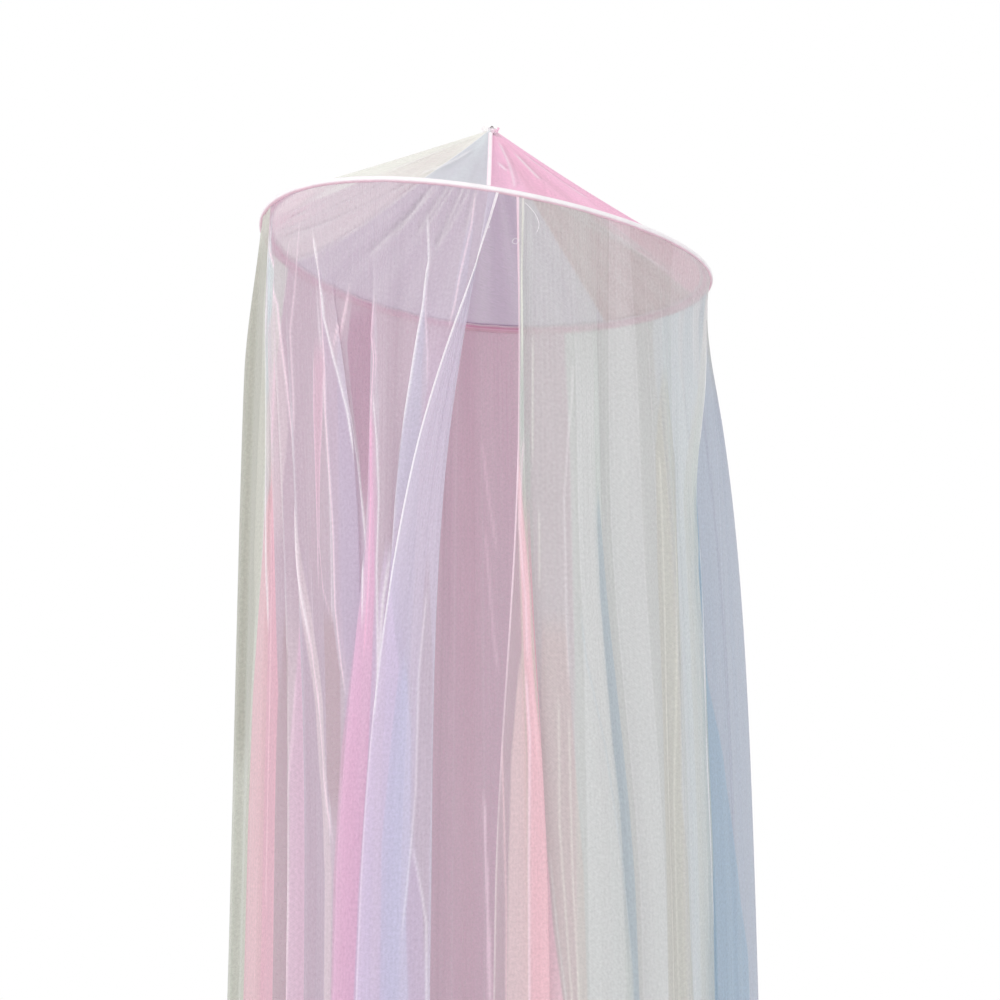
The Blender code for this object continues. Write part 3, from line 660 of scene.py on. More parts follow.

# The places in pleatStrips, creaseHighlightLines and roofCreaseHighlightsAndShade were read off the photo.
# Scratch scripts turned many of them into depths and degrees, and the rest were set by hand.

# Lighter or darker cloth where pleats lie over each other, in degrees from the front, each with
# its dye, cover, how far it stands out (mm) and (depth, left, right) points.
pleatStrips = [
    ("mintUpper", "oliveDeep", 0.78, 0.0, [(0.02, -108.0, -66.0), (0.30, -108.0, -63.0),
                                           (0.50, -108.0, -62.6), (0.74, -104.0, -66.0)]),
    ("mintShadow", "olive", 0.80, 0.4, [(0.20, -64.0, -62.0), (0.32, -66.0, -59.6), (0.45, -66.5, -59.8),
                                        (0.56, -64.0, -61.6)]),
    ("mintLow", "olive", 0.78, 0.3, [(0.68, -65.0, -64.0), (0.82, -67.0, -64.0), (1.0, -68.0, -64.6),
                                     (1.6, -68.0, -64.8), (2.25, -68.0, -64.8)]),
    ("endFold", "ice", 0.62, 1.0, [(0.02, -66.6, -65.4), (0.08, -65.4, -62.7), (0.15, -62.4, -56.7),
                                   (0.24, -60.2, -55.0), (0.30, -59.4, -56.6)]),
    ("endFoldLow", "pearlPink", 0.56, 1.0, [(0.10, -60.4, -60.0), (0.18, -60.0, -55.2), (0.25, -59.2, -52.2),
                                            (0.32, -59.0, -50.4), (0.40, -57.2, -50.4),
                                            (0.48, -54.4, -49.6)]),
    ("wedge", "wedgeLilac", 0.50, 1.2, [(0.08, -43.4, -43.2), (0.12, -41.0, -40.4), (0.18, -39.2, -38.4),
                                        (0.22, -38.2, -36.2), (0.25, -37.6, -34.3), (0.30, -37.0, -31.5),
                                        (0.36, -35.8, -29.4), (0.42, -34.6, -27.3), (0.49, -33.7, -25.8),
                                        (0.55, -33.1, -26.2), (0.61, -31.4, -28.6), (0.65, -30.0, -29.6)]),
    ("steepSliver", "whitePink", 0.60, 0.8, [(0.13, -32.9, -32.6), (0.15, -33.7, -32.8),
                                             (0.18, -34.8, -33.9), (0.22, -35.9, -35.3),
                                             (0.24, -36.4, -36.2)]),
    ("thinPair", "pinkPale", 0.42, 0.5, [(0.20, -41.8, -38.0), (0.29, -41.4, -37.9), (0.37, -40.2, -38.2),
                                         (0.46, -39.2, -38.7)]),
    ("darkGap", "mauveDeep", 0.34, 0.0, [(0.14, -32.0, -25.6), (0.21, -33.0, -25.2), (0.27, -31.6, -25.4),
                                         (0.36, -28.6, -25.2), (0.44, -26.4, -25.6)]),
    ("flapUpper", "lavenderPale", 0.62, 1.5, [(0.04, -13.1, -12.9), (0.10, -12.8, -12.3),
                                              (0.16, -13.6, -12.6), (0.20, -14.7, -12.0),
                                              (0.25, -16.2, -11.8), (0.33, -18.4, -14.3),
                                              (0.40, -19.1, -17.4), (0.44, -19.5, -18.8)]),
    ("betweenLines", "lavenderPale", 0.52, 0.6, [(0.02, -2.4, -1.6), (0.07, -4.6, -2.8), (0.11, -5.8, -3.6),
                                                 (0.15, -7.0, -4.9), (0.18, -8.0, -7.0)]),
    ("coralSpear", "coral", 0.62, 0.6, [(0.33, -56.4, -56.2), (0.42, -58.2, -54.2), (0.52, -60.3, -52.6),
                                        (0.64, -63.0, -50.9), (0.80, -64.2, -50.9), (1.0, -64.6, -50.3),
                                        (1.6, -65.0, -50.0)]),
    ("greySliver", "taupe", 0.46, 0.0, [(0.52, -50.6, -50.2), (0.60, -50.4, -47.0), (0.72, -50.2, -46.4),
                                        (0.86, -50.4, -46.0), (1.0, -50.2, -45.9), (1.6, -50.0, -45.6)]),
    ("pinkSliver", "orchidPale", 0.60, 0.8, [(0.54, -45.0, -44.8), (0.62, -45.2, -43.8),
                                             (0.72, -45.8, -42.4), (0.85, -45.0, -40.6),
                                             (1.1, -44.8, -40.2), (1.6, -44.6, -40.0)]),
    ("greyLavender", "greyLilac", 0.52, 0.0, [(0.46, -43.6, -43.0), (0.60, -42.8, -40.0),
                                              (0.72, -42.3, -37.8), (0.85, -40.5, -34.8),
                                              (1.0, -40.1, -34.6), (1.6, -40.0, -34.6)]),
    ("lightBand", "pearlPink", 0.64, 0.8, [(0.36, -48.6, -48.2), (0.43, -46.4, -45.2), (0.52, -43.8, -42.0),
                                           (0.60, -41.0, -38.6), (0.66, -39.0, -36.4), (0.74, -37.4, -34.8),
                                           (0.85, -34.8, -32.9), (1.0, -34.5, -32.7), (1.6, -34.4, -32.8)]),
    ("taupeBay", "taupe", 0.46, 0.0, [(0.53, -36.6, -34.6), (0.62, -35.6, -31.6), (0.74, -34.6, -31.0),
                                      (0.82, -32.2, -31.8)]),
    ("orchidSpear", "orchid", 0.50, 0.8, [(0.28, -24.6, -24.3), (0.34, -24.9, -23.8), (0.43, -24.8, -22.9),
                                          (0.51, -25.8, -22.6), (0.60, -28.5, -23.0), (0.71, -31.0, -23.7),
                                          (0.85, -32.4, -25.2), (1.0, -32.7, -26.2), (1.6, -32.7, -26.4)]),
    ("flapLow", "lavender", 0.62, 0.6, [(0.44, -20.6, -19.6), (0.52, -21.8, -18.2), (0.60, -22.4, -16.4),
                                        (0.72, -23.5, -17.6), (0.85, -25.2, -19.8), (1.0, -26.0, -20.2),
                                        (1.6, -26.0, -20.0)]),
    ("blueFold", "lavenderBlue", 0.62, 1.0, [(0.56, -16.6, -15.8), (0.66, -18.4, -14.4),
                                             (0.78, -20.2, -14.4), (1.0, -20.2, -14.4),
                                             (1.6, -20.0, -14.4)]),
    ("purpleBorder", "greyLilac", 0.54, 0.3, [(0.44, -11.6, -11.2), (0.58, -12.8, -10.2),
                                              (0.70, -13.5, -10.2), (0.80, -14.1, -10.6),
                                              (0.94, -11.4, -10.9)]),
    ("lilacFoot", "lilac", 0.54, 0.0, [(0.77, -14.0, -13.8), (0.86, -15.2, -11.8), (0.97, -14.4, -11.2),
                                       (1.6, -14.4, -11.2)]),
    ("taupeFold", "taupe", 0.46, 0.3, [(0.34, 6.6, 7.0), (0.45, 4.9, 7.3), (0.55, 4.2, 7.8),
                                       (0.66, 3.4, 6.2), (0.80, 2.8, 5.0), (0.95, 2.3, 4.7),
                                       (1.6, 2.1, 4.4)]),
    ("paleFold", "blush", 0.70, 0.6, [(0.56, 7.4, 7.8), (0.68, 5.6, 8.6), (0.80, 5.1, 8.7),
                                      (0.95, 4.8, 8.8), (1.6, 4.6, 8.6)]),
    ("coralFold", "coralPale", 0.68, 0.6, [(0.30, 6.8, 7.0), (0.36, 6.9, 7.6), (0.43, 7.3, 8.7),
                                           (0.50, 7.9, 9.5), (0.56, 8.2, 9.8), (0.62, 8.6, 10.7),
                                           (0.68, 9.0, 12.2), (0.76, 9.1, 13.0), (0.86, 9.1, 14.4),
                                           (0.96, 9.1, 16.6), (1.6, 9.0, 17.0)]),
    ("beigeLower", "beige", 0.64, 0.5, [(0.50, 12.4, 17.0), (0.66, 12.2, 18.6), (0.80, 13.6, 20.4),
                                        (0.95, 16.8, 21.0), (1.6, 17.2, 21.0)]),
    ("whiteMint", "mintPale", 0.62, 0.5, [(0.46, 20.6, 22.0), (0.60, 20.8, 25.6), (0.80, 21.2, 28.6),
                                          (0.95, 21.4, 30.6), (1.6, 21.5, 31.0)]),
    ("blueGrey", "slate", 0.54, 0.3, [(0.34, 24.6, 24.8), (0.40, 24.4, 25.6), (0.48, 24.7, 26.9),
                                      (0.57, 25.9, 29.2), (0.65, 27.1, 30.4), (0.72, 28.6, 31.4),
                                      (0.79, 29.2, 32.3), (0.90, 31.2, 33.7), (1.0, 32.0, 34.5),
                                      (1.6, 32.2, 34.8)]),
    ("oliveFold", "olive", 0.58, 0.7, [(0.16, 44.8, 45.4), (0.28, 42.0, 48.0), (0.42, 41.0, 46.7),
                                       (0.56, 41.0, 45.3), (0.70, 40.3, 45.0), (0.94, 40.2, 48.6),
                                       (1.6, 40.0, 49.0)]),
    ("deepBlue", "sky", 0.86, 0.6, [(0.30, 54.6, 56.0), (0.42, 53.0, 55.5), (0.55, 54.0, 59.0),
                                    (0.64, 54.2, 63.7), (0.76, 54.8, 68.0), (0.88, 53.8, 73.7),
                                    (1.1, 53.4, 75.0), (1.7, 53.4, 75.0)]),
    ("farGrey", "pearl", 0.84, 0.3, [(0.12, 168.4, 169.6), (0.4, 167.4, 170.8), (0.9, 168.0, 170.4),
                                     (1.6, 168.0, 170.0)]),
    ("farPink", "pinkPale", 0.86, 0.3, [(0.66, 180.4, 180.9), (0.92, 178.6, 179.6), (1.3, 178.2, 179.0)]),
]

# The thin bright lines of creases and of turned edges, denser cloth with a painted highlight:
# dye, width in mm, strength and (depth, degrees) points.
creaseHighlightLines = [
    ("whitePink", 1.5, 0.9, [(0.02, -67.4), (0.08, -62.7), (0.15, -56.7), (0.25, -52.2), (0.34, -48.8),
                             (0.43, -45.9), (0.54, -42.5), (0.64, -38.4), (0.74, -35.4), (0.82, -32.8)]),
    ("white", 1.5, 0.8, [(0.03, -66.8), (0.10, -64.0), (0.17, -62.2), (0.24, -60.4), (0.34, -59.0),
                         (0.45, -58.0), (0.57, -57.0)]),
    ("pinkPale", 1.4, 0.7, [(0.17, -58.6), (0.24, -57.3), (0.30, -56.1), (0.35, -55.5)]),
    ("coralPale", 1.6, 0.7, [(0.35, -56.0), (0.42, -57.0), (0.53, -56.2), (0.64, -56.0), (0.90, -56.0)]),
    ("pinkPale", 1.2, 0.6, [(0.06, -53.0), (0.11, -53.9), (0.15, -55.8)]),
    ("whitePink", 1.3, 0.6, [(0.04, -50.4), (0.13, -49.8), (0.19, -49.6), (0.27, -47.6), (0.33, -46.6)]),
    ("white", 1.2, 0.7, [(0.27, -50.4), (0.31, -49.4), (0.35, -48.8), (0.42, -45.7), (0.49, -44.2),
                         (0.59, -40.6)]),
    ("whitePink", 1.4, 0.85, [(0.06, -44.4), (0.12, -40.9), (0.18, -39.1), (0.25, -37.6), (0.30, -37.0),
                              (0.38, -35.4), (0.45, -34.1), (0.54, -33.2), (0.61, -31.3), (0.65, -30.0)]),
    ("white", 1.5, 0.85, [(0.06, -44.2), (0.15, -39.5), (0.18, -38.5), (0.22, -36.1), (0.25, -34.3),
                          (0.30, -31.5), (0.35, -29.6), (0.42, -27.3), (0.49, -25.7), (0.56, -25.4)]),
    ("whitePink", 1.3, 0.7, [(0.13, -32.7), (0.15, -33.3), (0.18, -34.4), (0.23, -35.9)]),
    ("pinkPale", 1.2, 0.6, [(0.22, -41.9), (0.29, -41.4), (0.37, -40.2), (0.46, -39.1), (0.52, -38.6)]),
    ("pinkPale", 1.2, 0.6, [(0.22, -37.7), (0.28, -37.8), (0.37, -38.4), (0.46, -38.7), (0.52, -36.6),
                            (0.56, -33.6)]),
    ("pinkPale", 1.3, 0.85, [(0.15, -24.4), (0.20, -24.9), (0.23, -23.9), (0.28, -24.4), (0.34, -24.2)]),
    ("pinkPale", 1.1, 0.5, [(0.20, -24.2), (0.23, -23.2), (0.27, -23.4)]),
    ("white", 1.3, 0.7, [(0.27, -24.0), (0.33, -22.6), (0.40, -21.9), (0.48, -22.2), (0.64, -21.8)]),
    ("white", 1.5, 0.85, [(0.04, -13.1), (0.10, -12.4), (0.16, -13.5), (0.19, -14.5), (0.25, -16.0),
                          (0.33, -18.3), (0.43, -19.4), (0.52, -21.1), (0.64, -22.2)]),
    ("whitePink", 1.2, 0.5, [(0.12, -12.5), (0.16, -12.8), (0.21, -12.1), (0.26, -12.0)]),
    ("whitePink", 1.3, 0.8, [(0.0, -1.9), (0.05, -2.9), (0.11, -5.2), (0.15, -6.3), (0.19, -8.2)]),
    ("whitePink", 1.2, 0.5, [(0.62, -45.2), (0.70, -45.2), (0.76, -46.0), (0.90, -45.0), (1.2, -44.8)]),
    ("pinkPale", 1.2, 0.6, [(0.66, -48.6), (0.86, -46.0), (1.0, -44.9), (1.2, -44.8)]),
    ("white", 1.2, 0.4, [(0.49, -11.4), (0.59, -13.0), (0.72, -13.4), (0.78, -14.2), (0.89, -16.0)]),
    ("white", 1.3, 0.5, [(0.78, -14.2), (0.84, -12.0), (0.87, -11.1), (1.1, -10.8)]),
    ("pink", 1.8, 0.6, [(0.30, -24.4), (0.40, -23.8), (0.50, -23.9), (0.60, -24.8)]),
    ("coralPale", 2.2, 0.85, [(0.10, 7.1), (0.25, 6.9), (0.34, 7.2), (0.41, 8.1), (0.48, 9.0), (0.54, 9.3),
                              (0.61, 10.1), (0.70, 11.4)]),
    ("whitePink", 1.4, 0.6, [(0.30, 8.4), (0.41, 7.3), (0.50, 8.6), (0.58, 9.0)]),
    ("cream", 1.2, 0.5, [(0.17, 11.0), (0.24, 10.8), (0.34, 10.6)]),
    ("cream", 1.2, 0.5, [(0.38, 11.9), (0.49, 11.9)]),
    ("white", 1.5, 0.35, [(0.20, 19.4), (0.25, 18.9), (0.30, 17.9), (0.37, 17.0), (0.51, 17.2),
                          (0.60, 17.7)]),
    ("whitePink", 1.5, 0.8, [(0.58, 8.6), (0.66, 9.4), (0.80, 9.1), (1.2, 9.1)]),
    ("coralPale", 1.3, 0.7, [(0.62, 3.4), (0.72, 4.0), (0.85, 4.6), (1.2, 4.4)]),
    ("mintPale", 1.3, 0.5, [(0.78, 13.8), (0.87, 15.3), (0.95, 17.0), (1.2, 17.6)]),
    ("cream", 1.3, 0.4, [(0.60, 15.6), (0.75, 15.8), (0.95, 18.0), (1.2, 18.4)]),
    ("cream", 1.3, 0.4, [(0.62, 17.6), (0.80, 18.2), (1.0, 19.8)]),
    ("slate", 1.5, 0.5, [(0.50, 20.2), (0.56, 21.3), (0.65, 25.2), (0.71, 26.9), (0.79, 29.1),
                         (0.91, 31.5)]),
    ("cream", 1.2, 0.4, [(0.28, 42.8), (0.60, 42.4), (1.1, 42.0)]),
    ("cream", 1.2, 0.35, [(0.30, 45.6), (0.70, 43.8), (1.1, 44.5)]),
    ("white", 1.9, 0.8, [(0.02, 83.0), (0.07, 77.3), (0.16, 66.8), (0.24, 59.4), (0.30, 56.4), (0.40, 54.4),
                         (0.51, 53.7), (0.65, 53.0), (0.72, 53.5), (0.85, 54.2)]),
    ("white", 1.3, 0.4, [(0.06, 80.0), (0.10, 75.6), (0.17, 68.4), (0.26, 60.4)]),
    ("pinkPale", 2.0, 0.5, [(0.16, 181.3), (0.25, 179.4), (0.33, 177.0)]),
    ("pinkPale", 2.0, 0.5, [(0.29, 180.4), (0.45, 178.1), (0.51, 176.6)]),
    ("pinkPale", 2.0, 0.4, [(0.15, 171.6), (0.30, 170.8), (0.45, 171.4)]),
]

panels = [
    # the CAD panel and the angle at the hoop where it begins
    ("curtain_blush_front", 7.5),
    ("curtain_mint_front", 10.8),
    ("curtain_sky_side", 87.5),
    ("curtain_pearl_back", 128.0),
    ("curtain_mauve_back", 158.0),
    ("curtain_mint_side", 247.0),
    ("curtain_coral_left", 292.0),
    ("curtain_pearl_left", 295.4),
    ("curtain_lilac_left", 314.6),
    ("curtain_orchid_left", 333.6),
    ("curtain_lavender_front", 339.2),
]


def allFoldRows():
    rows = list(rightRows)
    number = 0
    for start, end, folds, depth, dyes, cover in gatheredRound:
        for i in range(folds * 2):
            number += 1
            if i == 0 and start == rightRows[-1][0]:
                continue
            sway = 0.25 * math.sin(2.3 * number) if i else 0.0
            at = start + (end - start) * (i + sway) / (folds * 2)
            drift = 1.2 * math.sin(1.7 * number)
            side = 1.0 if number % 2 else -1.0
            out = side * depth * (1.0 + 0.35 * math.sin(3.1 * number))
            # how strong the painted highlight on this crease is
            creaseHighlight = 0.7 if i == 0 else 0.15
            rows.append((at, at + drift / 2.0, at + drift, out, dyes[number % 2], cover, creaseHighlight, 0.0))
    return rows + leftRows


def foldAngles(rows, depth):
    hoop, mid, low = (np.array([row[k] for row in rows]) for k in range(3))
    midLevel, lowLevel = curtain["midLevel"], curtain["lowLevel"]
    upper, lower = (mid - hoop) / midLevel, (low - mid) / (lowLevel - midLevel)
    turn = np.where(upper * lower > 0, (upper + lower) / 2.0, 0.0)
    ending = 0.3 * lower

    def between(a, slopeA, b, slopeB, run, at):
        t = at / run
        return (a * (2 * t**3 - 3 * t**2 + 1) + slopeA * run * (t**3 - 2 * t**2 + t)
                + b * (3 * t**2 - 2 * t**3) + slopeB * run * (t**3 - t**2))

    if depth <= midLevel:
        return between(hoop, upper, mid, turn, midLevel, depth)
    if depth <= lowLevel:
        return between(mid, turn, low, ending, lowLevel - midLevel, depth - midLevel)
    return low + ending * 0.5 * (1.0 - math.exp((lowLevel - depth) / 0.5))


def sideShare(table, angle):
    turn = np.radians(angle)
    right, front = np.sin(turn), np.cos(turn)
    value = np.where(front > 0, table["front"], table["back"]) * front**2
    return value + np.where(right > 0, table["right"], table["left"]) * right**2


def curtainRadius(angle, depth):
    flare = sideShare(curtain["flare"], angle)
    flare = flare * (1.0 - np.exp(-depth / sideShare(curtain["flareRun"], angle)))
    rightness = np.maximum(np.sin(np.radians(angle)), 0.0) ** 2
    share = depth / curtain["pinchDepth"]
    pinch = curtain["pinchRight"] * rightness * share * np.exp(1.0 - share)
    hem = curtain["hemFlare"] * smoothShare((depth - 0.9) / 1.6)
    return hoopLine["radius"] + flare - pinch + hem


def curtainLevels():
    levels = [0.0, 0.003, 0.007, 0.012, 0.018]
    while levels[-1] < 1.12:
        levels.append(levels[-1] + curtain["rowPitch"])
    ends = [curtain["length"] - curtain["hemDepth"], curtain["length"] - 0.004, curtain["length"]]
    while levels[-1] < ends[0] - 0.04:
        levels.append(levels[-1] + 0.036)
    return np.array(levels + ends)


def roughCurtain(rows, places, levels):
    # the main folds alone, with the angle that each column hangs from and each point's angle
    heads = easedValue([row[0] for row in rows], places)
    outs = easedValue([row[3] * mm for row in rows], places)
    headZ = hoopAt(heads)[:, 2]
    points = np.zeros((len(places), len(levels), 3))
    angles = np.zeros((len(places), len(levels)))
    for k, depth in enumerate(levels):
        angle = easedValue(foldAngles(rows, depth), places)
        settled = float(smoothShare(depth / curtain["foldSettle"]))
        share = curtain["hoopGather"] + (1.0 - curtain["hoopGather"]) * settled
        squeeze = math.cos(hoopLine["roll"]) * (1 - settled) + settled
        radius = curtainRadius(angle, depth) + outs * share
        turn = np.radians(angle)
        points[:, k, 0] = hoopLine["shiftX"] + radius * np.sin(turn) * squeeze
        points[:, k, 1] = -radius * np.cos(turn)
        points[:, k, 2] = headZ - curtain["head"] - depth
        angles[:, k] = angle
    return points, heads, angles


def columnPlaces(rows):
    # columns close together on the front, and closer still beside each fold line
    coarse = np.linspace(0, len(rows) - 1, (len(rows) - 1) * 12 + 1)
    points, _, angles = roughCurtain(rows, coarse, np.array([0.0, 0.35, 0.85, 1.6, 2.25]))
    steps = np.linalg.norm(np.diff(points, axis=0), axis=-1).max(axis=1)
    along = np.concatenate([[0.0], np.cumsum(steps)])
    lines = along[::12]
    wanted = []
    for k, (start, end) in enumerate(zip(lines[:-1], lines[1:])):
        front = not 90.0 < rows[k][0] < 280.0
        pitch = curtain["frontPitch"] if front else curtain["backPitch"]
        near = [0.8 * mm, 1.7 * mm] if front else [1.5 * mm]
        room = end - start
        if room < 4 * near[-1]:
            near = near[:1]
        count = max(1, round((room - 2 * near[-1]) / pitch))
        middle = np.linspace(start + near[-1], end - near[-1], count + 1)
        wanted += [start, *(start + np.array(near[:-1])), *middle, *(end - np.array(near[:-1][::-1]))]
    wanted.append(lines[-1])
    return np.interp(wanted, along, coarse), np.array(wanted)


def stripWeight(points, depth, angle, soft):
    # how much a strip covers each point, with crisp sides and its ends faded out
    at = np.array([p[0] for p in points])
    left = np.interp(depth, at, [p[1] for p in points])
    right = np.interp(depth, at, [p[2] for p in points])
    soft = np.minimum(soft, np.maximum(right - left, 0.05) / 2.0)
    sides = smoothShare((angle - left) / soft + 0.5) * smoothShare((right - angle) / soft + 0.5)
    ends = smoothShare((depth - at[0]) / 0.05 + 0.1)
    if at[-1] < 1.5:
        ends = ends * smoothShare((at[-1] - depth) / 0.08 + 0.1)
    middle = np.clip((angle - left) / np.maximum(right - left, 0.05), 0.0, 1.0)
    return sides * ends, 4.0 * middle * (1.0 - middle)


def lineWeight(points, depth, angle, width):
    at = np.array([p[0] for p in points])
    centre = np.interp(depth, at, [p[1] for p in points])
    away = np.radians(angle - centre) * curtain["lineRadius"] / width
    ends = smoothShare((depth - at[0]) / 0.03 + 0.2) * smoothShare((at[-1] - depth) / 0.04 + 0.1)
    return np.exp(-away**2) * ends


def makeCurtain():
    rows = allFoldRows()
    levels = curtainLevels()
    places, along = columnPlaces(rows)
    points, heads, angles = roughCurtain(rows, places, levels)
    fromFront = np.where((angles > 250) & (heads[:, None] > 270), angles - 360.0, angles)
    depth = np.repeat(levels[None, :], len(places), axis=0)
    s = np.repeat(along[:, None] * curtain["slack"], len(levels), axis=1)

    # how much the cloth is gathered at each level, compared with its loosest
    seg = np.linalg.norm(np.diff(points, axis=0), axis=-1)
    gathered = np.clip(np.diff(along)[:, None] / np.maximum(seg, 1e-5), 1.0, 2.2)
    gathered = np.vstack([gathered[:1], (gathered[1:] + gathered[:-1]) / 2.0, gathered[-1:]])

    # dye and cover of the cloth between two fold lines, and the painted highlight on each crease
    place = np.minimum(places.astype(int), len(rows) - 2)
    rgb = np.array([colours[row[4]] for row in rows])
    dyes = np.repeat(rgb[place][:, None, :], len(levels), axis=1)
    cover = np.repeat(np.array([row[5] for row in rows])[place][:, None], len(levels), axis=1)
    begins = np.array([row[7] for row in rows])[place][:, None]
    comeIn = np.where(begins > 0, smoothShare((depth - begins) / curtain["dyeRun"]), 1.0)
    onRight = (heads < 180.0)[:, None]
    headDye = np.where(onRight[..., None], colours[curtain["rightHead"][0]], colours[curtain["leftHead"][0]])
    headCover = np.where(onRight, curtain["rightHead"][1], curtain["leftHead"][1])
    dyes = headDye + (dyes - headDye) * comeIn[..., None]
    cover = headCover + (cover - headCover) * comeIn
    cover = cover * (1.0 + 0.12 * (gathered - 1.0))
    lineAt = np.interp(np.arange(len(rows)), places, along)
    # a painted highlight along each fold line's crease, where the cloth is also denser
    for k, row in enumerate(rows[1:-1], start=1):
        away = np.abs(along - lineAt[k]) / curtain["creaseHighlightWidth"]
        weight = (row[6] * np.exp(-away**2))[:, None] * smoothShare((levels - row[7]) / 0.08)[None, :]
        light = np.array(colours["white"]) * 0.65 + rgb[k] * 0.35
        dyes = blended(dyes, light, weight)
        cover = blended(cover, curtain["lineCover"], weight)

    # pleats that lie over each other, and crease lines: denser cloth with a painted highlight
    lift = np.zeros_like(depth)
    for _, dye, share, out, shape in pleatStrips:
        weight, crown = stripWeight(shape, depth, fromFront, curtain["stripSoft"])
        dyes = blended(dyes, colours[dye], weight)
        cover = blended(cover, share, weight)
        lift += out * mm * weight * crown
    # painted highlight along each crease line, with the cloth denser and raised there
    for dye, width, share, shape in creaseHighlightLines:
        weight = share * lineWeight(shape, depth, fromFront, width)
        dyes = blended(dyes, colours[dye], weight)
        cover = blended(cover, curtain["lineCover"], weight)
        lift += curtain["lineLift"] * weight

    # small pleats run down from the casing, wander and fade
    frontness = smoothShare((np.cos(np.radians(angles)) + 0.2) / 0.5)
    wander = 0.9 * wobble(s * 11.0 + depth * 2.2, (1, 2, 3)) + 1.4 * wobble(s * 3.0, (2, 5))
    phase = 2 * math.pi * s / curtain["pleatPitch"] + 2.2 * wander
    size = 0.2 + 0.9 * np.clip(0.5 + wobble(s * 17.0 + depth * 0.8, (1, 4, 6)), 0, 1)
    fade = 0.25 + 0.75 * np.exp(-depth / 0.6)
    start = smoothShare(depth / 0.03)
    height = curtain["pleatHeight"] * (1.6 - 1.0 * frontness) * size * fade * (0.35 + 0.65 * start)
    slower = 2 * math.pi * s / (curtain["pleatPitch"] * 2.7) + 3.0 * wobble(s * 5.0 + depth, (3, 4))
    push = height * np.sin(phase) + 0.7 * mm * size * start * np.sin(slower) + lift
    crest = np.sin(phase) ** 8 * size * fade
    cover = cover * (1.0 + 0.12 * crest)
    across = np.gradient(points[:, :, :2], axis=0)
    across /= np.maximum(np.linalg.norm(across, axis=-1, keepdims=True), 1e-9)
    normal = np.stack([across[..., 1], -across[..., 0]], axis=-1)
    points[:, :, :2] += normal * push[..., None]

    # hems: the bottom, and the two free edges with their white thread
    hemRows = depth > curtain["length"] - curtain["hemDepth"] - 1e-6
    cover = np.where(hemRows, np.minimum(cover * 1.35, 0.95), cover)
    stitch = np.abs(depth - (curtain["length"] - curtain["hemDepth"])) < 1e-6
    dyes = np.where(stitch[..., None], dyes * 0.4 + np.array(colours["white"]) * 0.6, dyes)
    fromRight = np.vstack([np.zeros((1, len(levels))), np.cumsum(seg, axis=0)])
    fromLeft = fromRight[-1:] - fromRight
    for away, (dye, fades) in ((fromRight, curtain["rightHem"]), (fromLeft, curtain["leftHem"])):
        width = curtain["freeHem"] * (0.5 + 0.4 * np.exp(-depth / 0.15))
        inside = smoothShare((width - away) / (1.0 * mm) + 0.5)
        inside = inside * (fades + (1.0 - fades) * smoothShare((0.75 - depth) / 0.35))
        dyes = blended(dyes, colours[dye], inside)
        cover = blended(cover, curtain["hemCover"], inside)
    # a second line of thread beside the right free edge, near the hoop
    closer = (8.5 - 3.0 * np.clip(depth / 0.12, 0, 1)) * mm
    second = 0.9 * np.exp(-((fromRight - closer) / (1.4 * mm))**2) * smoothShare((0.26 - depth) / 0.1)
    dyes = blended(dyes, colours["cream"], second)
    cover = blended(cover, curtain["hemCover"], second)
    uvs = np.stack([s, -depth], axis=-1)

    made = {}
    starts = [start for _, start in panels] + [400.0]
    for (name, start), end in zip(panels, starts[1:]):
        first = int(np.argmin(np.abs(heads - start)))
        last = int(np.argmin(np.abs(heads - end))) if end < 400 else len(heads) - 1
        part = slice(first, last + 1)
        title = name.title().replace("_", "") + "Net"
        piece = gridObject(title, points[part], uvs[part], dyes[part], cover[part], netMaterial(name + "Net"))
        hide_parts(name)
        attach(piece, "root")
        width = clothArea(points[part]) / curtain["length"]
        made[name] = (piece, round(width, 3))
    print("curtain:", len(panels), "panels,", points.shape[0], "columns,", points.shape[1], "rows")
    return made, points, levels


threads = {
    "thick": 0.5 * mm,
    "loopDepth": 0.062,
    "loopRadius": 3.4 * mm,
    "loopShift": (-2.0 * mm, -1.2 * mm, 0.0),     # from the cloth's edge
    "knotDepth": 0.048,
    "knotRadius": 1.3 * mm,
    "knotShift": (0.5 * mm, -0.8 * mm, 0.0),
    "loose": [(9.3, 0.008), (10.4, 0.013), (11.4, 0.019), (12.1, 0.026), (12.4, 0.033), (12.2, 0.039),
              (11.8, 0.044)],
}


